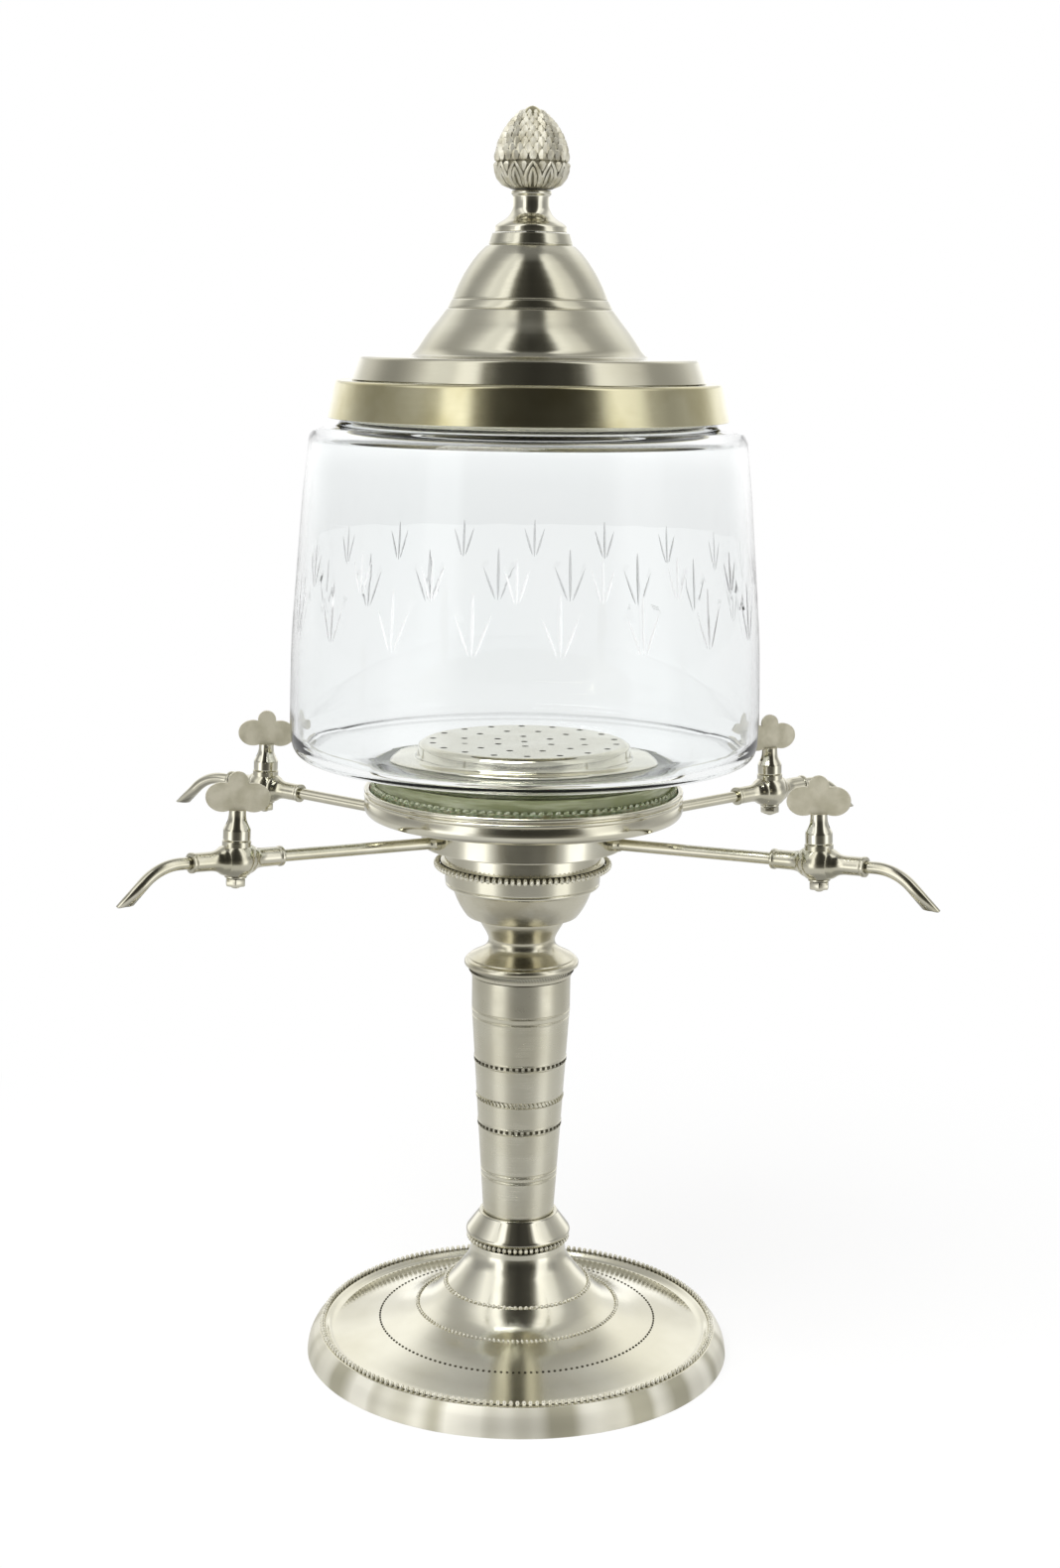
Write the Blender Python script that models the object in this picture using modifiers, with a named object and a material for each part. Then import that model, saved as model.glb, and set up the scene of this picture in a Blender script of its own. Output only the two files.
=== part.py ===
"""Absinthe fountain: a glass water jar on a nickel-plated pedestal, with four plug taps round its collar.

Metres, +Z up. The origin is the middle of the flat underside of the base.
"""

import math

import bmesh
import bpy
from mathutils import Vector

# Fits that every piece shares
CLEARANCE = 0.0003
OVERRUN = 0.002
MERGE_DISTANCE = 0.00005

# How finely round things are cut
LARGE_SEGMENTS = 28
MEDIUM_SEGMENTS = 20
SMALL_SEGMENTS = 12
TUBE_SIDES = 8
BEAD_SIDES = 5
SHARP_ANGLE = math.radians(40)

# Foot
BASE_RADIUS = 0.0956
BASE_HEIGHT = 0.0520
BASE_WALL = 0.0018
BASE_COLLAR_RADIUS = 0.0214
BASE_COLLAR_HEIGHT = 0.0033
BASE_STEP_HEIGHT = 0.0147
BASE_PLATE_WIDTH = 0.0216
BASE_CHANNEL_HEIGHT = 0.0096
BASE_RIM_SLOPE_WIDTH = 0.0027
BASE_RIM_WIDTH = 0.0034
BASE_RIM_HEIGHT = 0.0120
BASE_SKIRT_WIDTH = 0.0053
BASE_FOOT_EDGE = 0.0022
DOME_PULL_SHARES = (0.05, 0.58)
PLATE_PULL_SHARES = (0.45, 0.75)
SKIRT_PULL_SHARES = (0.78, 0.30)
RIM_BEAD_RADIUS = 0.00115
FELT_THICKNESS = 0.0015
WEIGHT_THICKNESS = 0.0054
WEIGHT_INNER_RADIUS = 0.0260

# Tie rod through the pedestal
TIE_ROD_RADIUS = 0.0040
TIE_ROD_TAIL = 0.0025
TIE_ROD_GRIP = 0.0080
TIE_WASHER_RADIUS = 0.0120
TIE_WASHER_THICKNESS = 0.0016
TIE_NUT_WIDTH = 0.0130
TIE_NUT_HEIGHT = 0.0065

# Polished knop between the foot and the column
KNOP_HEIGHT = 0.0136
KNOP_FOOT_RADIUS = 0.0206
KNOP_FOOT_HEIGHT = 0.0030
KNOP_RADIUS = 0.0235
KNOP_LIP_HEIGHT = 0.0010
KNOP_LIP_WALL = 0.0014
KNOP_BEAD_RADIUS = 0.00125
KNOP_BELLY_HEIGHT = 0.0045
KNOP_UNDER_RADIUS = 0.0229
KNOP_PULL_SHARES = (0.84, 0.44)

# Tapered column with its raised rings
COLUMN_LENGTH = 0.1110
COLUMN_TOP_RADIUS = 0.0219
COLUMN_FOOT_RADIUS = 0.0159
COLUMN_HEAD_LENGTH = 0.0148
COLUMN_WALL = 0.0018
COLUMN_RING_HEIGHT = 0.0022
COLUMN_RING_PROUD = 0.0005
COLUMN_RING_SHARES = (0.385, 0.500, 0.655)

# Rope-edged collar under the capital
ROPE_COLLAR_HEIGHT = 0.0042
ROPE_COLLAR_RADIUS = 0.0248
ROPE_COLLAR_EDGE = 0.0006

# Capital, a polished waisted spool
CAPITAL_HEIGHT = 0.0224
CAPITAL_FLANGE_RADIUS = 0.0255
CAPITAL_FLANGE_EDGE = 0.0012
CAPITAL_WAIST_RADIUS = 0.0145
CAPITAL_WAIST_SHARE = 0.52
CAPITAL_HEAD_RADIUS = 0.0196
CAPITAL_UPPER_PULL_SHARES = (0.91, 0.54)
CAPITAL_LOWER_PULL_SHARES = (0.40, 0.67)

# Bowl under the water chamber
BOWL_HEIGHT = 0.0129
BOWL_FOOT_RADIUS = 0.0248
BOWL_TOP_RADIUS = 0.0312
BOWL_PULL_SHARES = (0.42, 0.58)

# Stepped water chamber that feeds the taps
DRUM_HEIGHT = 0.0333
DRUM_WALL = 0.0038
DRUM_FLOOR = 0.0035
DRUM_LOW_RADIUS = 0.0343
DRUM_LOW_HEIGHT = 0.0084
DRUM_MID_RADIUS = 0.0347
DRUM_MID_HEIGHT = 0.0189
DRUM_TOP_RADIUS = 0.0448
DRUM_BEAD_RADIUS = 0.0013
DRUM_FLANGE_WIDTH = 0.0018

# Gallery dish that carries the jar
GALLERY_HEIGHT = 0.0107
GALLERY_RADIUS = 0.0700
GALLERY_RIM_WALL = 0.0024
GALLERY_PLATE = 0.0030
GALLERY_EDGE_RADIUS = 0.0672
GALLERY_LIP_HEIGHT = 0.0018
GALLERY_GROOVE_DEPTH = 0.0009
GALLERY_GROOVE_HEIGHT = 0.0012
GALLERY_PULL_SHARES = (-0.05, 0.60)

# Seal between the dish and the foot of the jar
SEAL_THICKNESS = 0.0032
SEAL_LIP_HEIGHT = 0.0086
SEAL_INNER_RADIUS = 0.0560

# Glass jar
JAR_WALL = 0.0030
JAR_FLOOR = 0.0037
JAR_FOOT_RADIUS = 0.0650
JAR_FOOT_WIDTH = 0.0080
JAR_FOOT_HEIGHT = 0.0133
JAR_FLOOR_RADIUS = 0.0610
JAR_HEIGHT = 0.1777
JAR_RADIUS = 0.1020
JAR_BELLY_HEIGHT = 0.0330
JAR_SHOULDER_RADIUS = 0.0934
JAR_SHOULDER_DROP = 0.0213
JAR_NECK_RADIUS = 0.0805
JAR_NECK_DROP = 0.0142
JAR_WALL_PULL_SHARES = (0.90, 0.62)
JAR_BOTTOM_PULL_SHARES = (0.03, 0.80)
JAR_FLOOR_PULL_SHARES = (0.97, 0.19)
JAR_EDGE_PULL_SHARES = (0.85, 0.05)
JAR_BOTTOM_STEPS = 4
JAR_WALL_STEPS = 3

# Outlet fitting that clamps the jar, and the strainer over it
SPIGOT_RADIUS = 0.0080
SPIGOT_BORE_RADIUS = 0.0060
SPIGOT_TAIL = 0.0060
SPIGOT_FLANGE_RADIUS = 0.0140
SPIGOT_FLANGE_THICKNESS = 0.0025
GASKET_THICKNESS = 0.0015
STRAINER_RADIUS = 0.0460
STRAINER_HEIGHT = 0.0110
STRAINER_WALL = 0.0010
STRAINER_BRIM_RADIUS = 0.0590
STRAINER_BRIM_HEIGHT = 0.0027
STRAINER_CORNER = 0.0014
STRAINER_HOLE_RADIUS = 0.0015
STRAINER_HOLE_SIDES = 5
STRAINER_RING_SHARES = (0.29, 0.59, 0.88)
STRAINER_RING_HOLES = (6, 12, 18)
STRAINER_START_SHARE = 0.5

# Lid: band, locating ring and spun cone
BAND_HEIGHT = 0.0157
BAND_WALL = 0.0012
BAND_FLARE = 0.0034
LOCATING_RING_FIT = 0.0005
LOCATING_RING_WALL = 0.0012
LOCATING_RING_DEPTH = 0.0197
LOCATING_FLANGE_WIDTH = 0.0045
LID_WALL = 0.0012
LID_INSET = 0.0067
LID_CORNER_WIDTH = 0.0038
LID_SHOULDER_HEIGHT = 0.0099
LID_CONE_FOOT_RADIUS = 0.0486
LID_CONE_FOOT_HEIGHT = 0.0117
LID_NECK_RADIUS = 0.0189
LID_NECK_HEIGHT = 0.0557
LID_CAP_FOOT_RADIUS = 0.0179
LID_CAP_RADIUS = 0.0165
LID_CAP_HEIGHT = 0.0048
LID_HEIGHT = 0.0611
LID_FOOT_EDGE = 0.0015
LID_LINE_RADIUS = 0.0329
LID_LINE_HEIGHT = 0.0340
LID_LOWER_LINE_RADIUS = 0.0351
LID_LOWER_LINE_HEIGHT = 0.0300
LID_CORNER_PULL_SHARES = (0.62, 0.02)
LID_CONE_PULL_SHARES = (0.80, 0.53)

# Finial
FINIAL_COLLAR_RADIUS = 0.0153
FINIAL_COLLAR_HEIGHT = 0.0027
FINIAL_NECK_RADIUS = 0.0077
FINIAL_NECK_SHARE = 0.70
FINIAL_NECK_HEIGHT = 0.0173
FINIAL_SEAT_RADIUS = 0.0086
FINIAL_SEAT_HEIGHT = 0.0030
FINIAL_FLARE_PULL_SHARES = (0.12, 0.75)
CONE_RADIUS = 0.0165
CONE_HEIGHT = 0.0341
CONE_BELLY_SHARE = 0.25
CONE_TIP_PULL_SHARES = (1.0, 0.36)
CONE_CUP_PULL_SHARES = (0.0, 1.0)
STUD_RADIUS = 0.0020
STUD_GRIP = 0.0100
STUD_TAIL = 0.0015
LID_WASHER_RADIUS = 0.0060
LID_WASHER_THICKNESS = 0.0012
LID_NUT_WIDTH = 0.0070
LID_NUT_HEIGHT = 0.0030

# Arms, one to each tap, set symmetrically about the X axis
TAPS = (("lf", -1, -1), ("rf", 1, -1), ("rb", 1, 1), ("lb", -1, 1))
TAP_SIDE_ANGLE = math.radians(33)
TAP_REACH = 0.1420
ARM_RISE_ANGLE = math.radians(2.5)
ARM_PORT_SHARE = 0.36
ARM_RADIUS = 0.00255
ARM_BORE_RADIUS = 0.00165
ARM_ROOT_DEPTH = 0.0020

# Tap bodies
BALL_RADIUS = 0.0082
BALL_STEPS = 5
BALL_BOSS_RADIUS = 0.0060
BALL_TOP_HEIGHT = 0.0080
BALL_FOOT_DEPTH = 0.0061
SOCKET_RADIUS = 0.0039
SOCKET_REACH = 0.0210
SOCKET_LIP_RADIUS = 0.0043
SOCKET_LIP_LENGTH = 0.0016
SOCKET_TUBE_DEPTH = 0.0110

# Spouts
SPOUT_STRAIGHT = 0.0040
SPOUT_BEND_RADIUS = 0.0220
SPOUT_DROOP_ANGLE = math.radians(43)
SPOUT_BEND_STEPS = 4
SPOUT_DROP = 0.0129

# Turning keys: plug, collar and slotted stem, with a flat trefoil handle
PLUG_TOP_RADIUS = 0.0040
PLUG_FOOT_RADIUS = 0.0034
PLUG_PORT_RADIUS = 0.0015
PLUG_SCREW_RADIUS = 0.0019
KEY_COLLAR_RADIUS = 0.0056
KEY_COLLAR_HEIGHT = 0.0042
KEY_STEM_FOOT_RADIUS = 0.0044
KEY_SHOULDER_HEIGHT = 0.0020
KEY_STEM_RADIUS = 0.0037
KEY_STEM_HEIGHT = 0.0062
KEY_YAWS = {
    "lf": math.radians(8),
    "rf": math.radians(-12),
    "rb": math.radians(20),
    "lb": math.radians(6),
}
HANDLE_THICKNESS = 0.0016
HANDLE_TANG_WIDTH = 0.0066
HANDLE_LOBE_WIDTH = 0.0068
HANDLE_LOBE_HEIGHT = 0.0060
HANDLE_LOBE_OFFSET = 0.0063
HANDLE_LOBE_END = math.radians(110)
HANDLE_CROWN_RADIUS = 0.0042
HANDLE_CROWN_HEIGHT = 0.0064
HANDLE_SINK = 0.0010
HANDLE_LOBE_POINTS = 10
HANDLE_CROWN_POINTS = 5
TAP_WASHER_RADIUS = 0.0046
TAP_WASHER_THICKNESS = 0.0009
TAP_NUT_WIDTH = 0.0076
TAP_NUT_HEIGHT = 0.0033
TAP_SCREW_TAIL = 0.0012

# Heights of the stacked pieces, each on the one below
BASE_TOP = BASE_HEIGHT
KNOP_FOOT = BASE_TOP + CLEARANCE
KNOP_TOP = KNOP_FOOT + KNOP_HEIGHT
COLUMN_FOOT = KNOP_TOP - KNOP_LIP_HEIGHT + CLEARANCE
COLUMN_TOP = COLUMN_FOOT + COLUMN_LENGTH
ROPE_COLLAR_FOOT = COLUMN_TOP + CLEARANCE
CAPITAL_FOOT = ROPE_COLLAR_FOOT + ROPE_COLLAR_HEIGHT + CLEARANCE
BOWL_FOOT = CAPITAL_FOOT + CAPITAL_HEIGHT + CLEARANCE
DRUM_FOOT = BOWL_FOOT + BOWL_HEIGHT + CLEARANCE
DRUM_TOP = DRUM_FOOT + DRUM_HEIGHT
GALLERY_FOOT = DRUM_TOP + CLEARANCE
GALLERY_FLOOR = GALLERY_FOOT + GALLERY_PLATE
SEAL_FOOT = GALLERY_FLOOR + CLEARANCE
JAR_FOOT = SEAL_FOOT + SEAL_THICKNESS + CLEARANCE
JAR_TOP = JAR_FOOT + JAR_HEIGHT
JAR_INNER_FLOOR = JAR_FOOT + JAR_FOOT_HEIGHT + CLEARANCE
BAND_TOP = JAR_TOP + CLEARANCE + BAND_WALL
LID_FOOT = BAND_TOP + CLEARANCE
LID_TOP = LID_FOOT + LID_HEIGHT
FINIAL_FOOT = LID_TOP + CLEARANCE
CONE_FOOT = FINIAL_FOOT + FINIAL_NECK_HEIGHT + CLEARANCE

# The foot's radii, each set in from the one outside it
BASE_RIM_OUTER_RADIUS = BASE_RADIUS - BASE_SKIRT_WIDTH
BASE_RIM_INNER_RADIUS = BASE_RIM_OUTER_RADIUS - BASE_RIM_WIDTH
BASE_CHANNEL_RADIUS = BASE_RIM_INNER_RADIUS - BASE_RIM_SLOPE_WIDTH
BASE_STEP_RADIUS = BASE_CHANNEL_RADIUS - BASE_PLATE_WIDTH

# The lid's radii, from the neck of the jar that it sits on
LOCATING_RING_RADIUS = JAR_NECK_RADIUS - JAR_WALL - LOCATING_RING_FIT
LID_SEAT_RADIUS = LOCATING_RING_RADIUS - LOCATING_FLANGE_WIDTH
BAND_TOP_RADIUS = JAR_NECK_RADIUS + CLEARANCE + BAND_WALL
LID_FOOT_RADIUS = BAND_TOP_RADIUS - LID_INSET

# Bores round the tie rod, the outlet fitting and the finial stud
ROD_BORE = TIE_ROD_RADIUS + CLEARANCE
SPIGOT_BORE = SPIGOT_RADIUS + CLEARANCE
STUD_BORE = STUD_RADIUS + CLEARANCE
TUBE_BORE = ARM_RADIUS + CLEARANCE

# Where the arms leave the drum and where the taps sit
ARM_PORT_HEIGHT = (
    DRUM_FOOT + DRUM_MID_HEIGHT + ARM_PORT_SHARE * (DRUM_HEIGHT - DRUM_MID_HEIGHT)
)
TAP_HEIGHT = ARM_PORT_HEIGHT + (TAP_REACH - DRUM_TOP_RADIUS) * math.tan(ARM_RISE_ANGLE)
CHAMBER_RADIUS = DRUM_LOW_RADIUS - DRUM_WALL

# Finishes: base colour, metallic, roughness, transmission
FINISHES = {
    "satin_nickel": ((0.53, 0.50, 0.42), 1.0, 0.30, 0.0),
    "polished_nickel": ((0.62, 0.60, 0.52), 1.0, 0.10, 0.0),
    "cast_nickel": ((0.50, 0.48, 0.41), 1.0, 0.36, 0.0),
    "aged_band": ((0.50, 0.46, 0.33), 1.0, 0.26, 0.0),
    "clear_glass": ((0.96, 0.98, 0.97), 0.0, 0.02, 1.0),
    "green_seal": ((0.30, 0.34, 0.22), 0.0, 0.60, 0.0),
    "black_rubber": ((0.03, 0.03, 0.03), 0.0, 0.70, 0.0),
    "green_felt": ((0.04, 0.09, 0.05), 0.0, 0.95, 0.0),
    "bare_steel": ((0.45, 0.45, 0.45), 1.0, 0.35, 0.0),
    "cast_iron": ((0.08, 0.08, 0.08), 0.6, 0.70, 0.0),
}


def clear_scene():
    for existing in list(bpy.data.objects):
        bpy.data.objects.remove(existing, do_unlink=True)


def new_collection(name):
    collection = bpy.data.collections.new(name)
    bpy.context.scene.collection.children.link(collection)
    return collection


def paint(piece, finish):
    colour, metallic, roughness, transmission = FINISHES[finish]
    material = bpy.data.materials.new(f"{piece.name}_{finish}")
    material.use_nodes = True
    shader = material.node_tree.nodes["Principled BSDF"]
    shader.inputs["Base Color"].default_value = (*colour, 1)
    shader.inputs["Metallic"].default_value = metallic
    shader.inputs["Roughness"].default_value = roughness
    shader.inputs["Transmission Weight"].default_value = transmission
    piece.data.materials.append(material)


def add_piece(name, mesh, finish=None, height=0, parent=None):
    piece = bpy.data.objects.new(name, mesh)
    piece.location.z = height
    piece.parent = parent
    if finish:
        FOUNTAIN.objects.link(piece)
        paint(piece, finish)
    else:
        CUTTERS.objects.link(piece)
        piece.hide_render = True
        piece.display_type = "WIRE"
    return piece


def add_frame(name, location, rotation=(0, 0, 0), parent=None):
    frame = bpy.data.objects.new(name, None)
    frame.location = location
    frame.rotation_euler = rotation
    frame.parent = parent
    FOUNTAIN.objects.link(frame)
    return frame


def bend(start, end, pull_shares, steps):
    """Points of a quadratic curve after its start; its control point lies at shares of the way."""
    pull = [a + share * (b - a) for a, b, share in zip(start, end, pull_shares)]
    points = []
    for step in range(1, steps + 1):
        t = step / steps
        points.append(
            tuple(
                (1 - t) ** 2 * a + 2 * t * (1 - t) * c + t**2 * b
                for a, b, c in zip(start, end, pull)
            )
        )
    return points


def back(pull_shares):
    """The same pull for a curve drawn from its other end."""
    return [1 - share for share in pull_shares]


def turned(name, outline, finish, height=0, parent=None, segments=MEDIUM_SEGMENTS, closed=True):
    """A profile of (radius, height) points, down its outer side, swept round Z."""
    mesh = bpy.data.meshes.new(name)
    shape = bmesh.new()
    corners = [shape.verts.new((radius, 0, level)) for radius, level in outline]
    for first, second in zip(corners, corners[1:]):
        shape.edges.new((first, second))
    if closed:
        shape.edges.new((corners[-1], corners[0]))
    shape.to_mesh(mesh)
    shape.free()
    piece = add_piece(name, mesh, finish, height, parent)
    screw = piece.modifiers.new("Turn", "SCREW")
    screw.steps = segments
    screw.render_steps = segments
    screw.use_merge_vertices = True
    screw.merge_threshold = MERGE_DISTANCE
    screw.use_smooth_shade = True
    return piece


def thicken(piece, wall):
    shell = piece.modifiers.new("Wall", "SOLIDIFY")
    shell.thickness = wall
    shell.offset = -1
    shell.use_even_offset = True


def ring(name, ring_radius, wire_radius, finish, height, segments=LARGE_SEGMENTS):
    """A plain round hoop of wire; its beads are finer than this solid shows."""
    outline = []
    for side in range(BEAD_SIDES):
        angle = -2 * math.pi * side / BEAD_SIDES
        outline.append(
            (ring_radius + wire_radius * math.cos(angle), wire_radius * math.sin(angle))
        )
    return turned(name, outline, finish, height, segments=segments)


def washer(name, radius, bore, thickness, finish, height, parent=None, segments=SMALL_SEGMENTS):
    outline = [(bore, thickness), (radius, thickness), (radius, 0), (bore, 0)]
    return turned(name, outline, finish, height, parent, segments)


def cylinder_mesh(name, radius, length, sides, top_radius=None):
    """A closed cylinder or taper standing on Z = 0."""
    mesh = bpy.data.meshes.new(name)
    shape = bmesh.new()
    bmesh.ops.create_cone(
        shape,
        cap_ends=True,
        segments=sides,
        radius1=radius,
        radius2=radius if top_radius is None else top_radius,
        depth=length,
    )
    bmesh.ops.translate(shape, vec=(0, 0, length / 2), verts=shape.verts)
    shape.to_mesh(mesh)
    shape.free()
    mesh.shade_smooth()
    mesh.set_sharp_from_angle(angle=SHARP_ANGLE)
    return mesh


def combine(piece, tool, operation):
    boolean = piece.modifiers.new(operation.title(), "BOOLEAN")
    boolean.operation = operation
    boolean.object = tool
    boolean.solver = "EXACT"


def baked(piece, tools=()):
    """The mesh a piece has after its modifiers; the piece and its tools go."""
    bpy.context.view_layer.update()
    depsgraph = bpy.context.evaluated_depsgraph_get()
    mesh = bpy.data.meshes.new_from_object(piece.evaluated_get(depsgraph))
    mesh.materials.clear()
    shape = bmesh.new()
    shape.from_mesh(mesh)
    bmesh.ops.remove_doubles(shape, verts=shape.verts, dist=MERGE_DISTANCE)
    bmesh.ops.recalc_face_normals(shape, faces=shape.faces)
    shape.to_mesh(mesh)
    shape.free()
    for used in (piece, *tools):
        bpy.data.objects.remove(used, do_unlink=True)
    return mesh


def nut_mesh(name, width, height, bore):
    """A hexagon nut standing on Z = 0, with its round bore."""
    corner_radius = width / math.sqrt(3)
    blank = add_piece(name, cylinder_mesh(name, corner_radius, height, 6))
    drill_mesh = cylinder_mesh(f"{name}_drill", bore, height + 2 * OVERRUN, SMALL_SEGMENTS)
    drill = add_piece(f"{name}_drill", drill_mesh, height=-OVERRUN)
    combine(blank, drill, "DIFFERENCE")
    return baked(blank, [drill])


def tube_mesh(name, points, radius):
    """A round bar along a polyline, its end caps welded on."""
    curve = bpy.data.curves.new(name, "CURVE")
    curve.dimensions = "3D"
    curve.bevel_depth = radius
    curve.bevel_resolution = (TUBE_SIDES - 4) // 2
    curve.use_fill_caps = True
    spline = curve.splines.new("POLY")
    spline.points.add(len(points) - 1)
    for control, point in zip(spline.points, points):
        control.co = (*point, 1)
    bar = bpy.data.objects.new(name, curve)
    CUTTERS.objects.link(bar)
    return baked(bar)


# Foot and pedestal


def make_base():
    collar_foot = (BASE_COLLAR_RADIUS, BASE_HEIGHT - BASE_COLLAR_HEIGHT)
    step = (BASE_STEP_RADIUS, BASE_STEP_HEIGHT)
    channel = (BASE_CHANNEL_RADIUS, BASE_CHANNEL_HEIGHT)
    rim_edge = (BASE_RIM_OUTER_RADIUS, BASE_RIM_HEIGHT)
    outline = [(ROD_BORE, BASE_HEIGHT), (BASE_COLLAR_RADIUS, BASE_HEIGHT), collar_foot]
    outline += bend(collar_foot, step, DOME_PULL_SHARES, 5)
    outline += bend(step, channel, PLATE_PULL_SHARES, 2)
    outline += [(BASE_RIM_INNER_RADIUS, BASE_RIM_HEIGHT), rim_edge]
    outline += bend(rim_edge, (BASE_RADIUS, BASE_FOOT_EDGE), SKIRT_PULL_SHARES, 2)
    outline += [(BASE_RADIUS, 0)]
    shell = turned("base_shell", outline, "satin_nickel", segments=LARGE_SEGMENTS, closed=False)
    thicken(shell, BASE_WALL)
    ring(
        "base_rim_beading",
        (BASE_RIM_INNER_RADIUS + BASE_RIM_OUTER_RADIUS) / 2,
        RIM_BEAD_RADIUS,
        "satin_nickel",
        BASE_RIM_HEIGHT + CLEARANCE + RIM_BEAD_RADIUS,
    )
    felt_radius = BASE_RADIUS - BASE_WALL - 2 * CLEARANCE
    felt_mesh = cylinder_mesh("base_felt", felt_radius, FELT_THICKNESS, LARGE_SEGMENTS)
    add_piece("base_felt", felt_mesh, "green_felt")
    washer(
        "base_weight",
        BASE_CHANNEL_RADIUS,
        WEIGHT_INNER_RADIUS,
        WEIGHT_THICKNESS,
        "cast_iron",
        FELT_THICKNESS + CLEARANCE,
        segments=MEDIUM_SEGMENTS,
    )


def make_tie_rod():
    washer_foot = BASE_TOP - BASE_WALL - CLEARANCE - TIE_WASHER_THICKNESS
    nut_foot = washer_foot - CLEARANCE - TIE_NUT_HEIGHT
    rod_foot = nut_foot - TIE_ROD_TAIL
    rod_length = BOWL_FOOT + TIE_ROD_GRIP - rod_foot
    rod_mesh = cylinder_mesh("tie_rod", TIE_ROD_RADIUS, rod_length, SMALL_SEGMENTS)
    add_piece("tie_rod", rod_mesh, "bare_steel", rod_foot)
    washer(
        "tie_washer",
        TIE_WASHER_RADIUS,
        ROD_BORE,
        TIE_WASHER_THICKNESS,
        "bare_steel",
        washer_foot,
    )
    nut = nut_mesh("tie_nut", TIE_NUT_WIDTH, TIE_NUT_HEIGHT, ROD_BORE)
    add_piece("tie_nut", nut, "bare_steel", nut_foot)


def make_knop():
    seat_radius = COLUMN_FOOT_RADIUS + CLEARANCE
    seat_height = KNOP_HEIGHT - KNOP_LIP_HEIGHT
    lip_foot = (seat_radius + KNOP_LIP_WALL, seat_height)
    outline = [
        (ROD_BORE, seat_height),
        (seat_radius, seat_height),
        (seat_radius, KNOP_HEIGHT),
        (seat_radius + KNOP_LIP_WALL, KNOP_HEIGHT),
        lip_foot,
    ]
    outline += bend(lip_foot, (KNOP_RADIUS, KNOP_BELLY_HEIGHT), KNOP_PULL_SHARES, 4)
    outline += [
        (KNOP_UNDER_RADIUS, KNOP_FOOT_HEIGHT),
        (KNOP_FOOT_RADIUS, KNOP_FOOT_HEIGHT),
        (KNOP_FOOT_RADIUS, 0),
        (ROD_BORE, 0),
    ]
    turned("knop", outline, "polished_nickel", KNOP_FOOT)
    ring(
        "knop_bead_ring",
        KNOP_FOOT_RADIUS + CLEARANCE + KNOP_BEAD_RADIUS,
        KNOP_BEAD_RADIUS,
        "polished_nickel",
        KNOP_FOOT + KNOP_FOOT_HEIGHT / 2,
        MEDIUM_SEGMENTS,
    )


def column_radius(level):
    """Outer radius of the plain taper at a height above the column's foot."""
    taper_length = COLUMN_LENGTH - COLUMN_HEAD_LENGTH
    share = min(level / taper_length, 1)
    return COLUMN_FOOT_RADIUS + share * (COLUMN_TOP_RADIUS - COLUMN_FOOT_RADIUS)


def make_column():
    head_foot = COLUMN_LENGTH - COLUMN_HEAD_LENGTH
    half = COLUMN_RING_HEIGHT / 2
    outline = [(COLUMN_TOP_RADIUS, COLUMN_LENGTH), (COLUMN_TOP_RADIUS, head_foot)]
    for share in reversed(COLUMN_RING_SHARES):
        middle = share * COLUMN_LENGTH
        outline += [
            (column_radius(middle + half), middle + half),
            (column_radius(middle) + COLUMN_RING_PROUD, middle),
            (column_radius(middle - half), middle - half),
        ]
    outline += [
        (COLUMN_FOOT_RADIUS, 0),
        (COLUMN_FOOT_RADIUS - COLUMN_WALL, 0),
        (COLUMN_TOP_RADIUS - COLUMN_WALL, head_foot),
        (COLUMN_TOP_RADIUS - COLUMN_WALL, COLUMN_LENGTH),
    ]
    turned("column", outline, "satin_nickel", COLUMN_FOOT)
    rope_outline = [
        (ROD_BORE, ROPE_COLLAR_HEIGHT),
        (ROPE_COLLAR_RADIUS, ROPE_COLLAR_HEIGHT),
        (ROPE_COLLAR_RADIUS, ROPE_COLLAR_HEIGHT - ROPE_COLLAR_EDGE),
        (COLUMN_TOP_RADIUS + ROPE_COLLAR_EDGE, 0),
        (ROD_BORE, 0),
    ]
    turned("rope_collar", rope_outline, "satin_nickel", ROPE_COLLAR_FOOT)


def make_capital():
    flange_edge = (CAPITAL_FLANGE_RADIUS, CAPITAL_FLANGE_EDGE)
    waist = (CAPITAL_WAIST_RADIUS, CAPITAL_WAIST_SHARE * CAPITAL_HEIGHT)
    head = (CAPITAL_HEAD_RADIUS, CAPITAL_HEIGHT)
    outline = [(ROD_BORE, CAPITAL_HEIGHT), head]
    outline += bend(head, waist, CAPITAL_UPPER_PULL_SHARES, 3)
    outline += bend(waist, flange_edge, CAPITAL_LOWER_PULL_SHARES, 4)
    outline += [(CAPITAL_FLANGE_RADIUS, 0), (ROD_BORE, 0)]
    turned("capital", outline, "polished_nickel", CAPITAL_FOOT)


def make_bowl():
    foot = (BOWL_FOOT_RADIUS, 0)
    top = (BOWL_TOP_RADIUS, BOWL_HEIGHT)
    socket_top = TIE_ROD_GRIP + CLEARANCE
    outline = [(0, BOWL_HEIGHT), top]
    outline += bend(top, foot, BOWL_PULL_SHARES, 3)
    outline += [(ROD_BORE, 0), (ROD_BORE, socket_top), (0, socket_top)]
    turned("bowl", outline, "satin_nickel", BOWL_FOOT, closed=False)


# Water chamber, dish and seal


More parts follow.
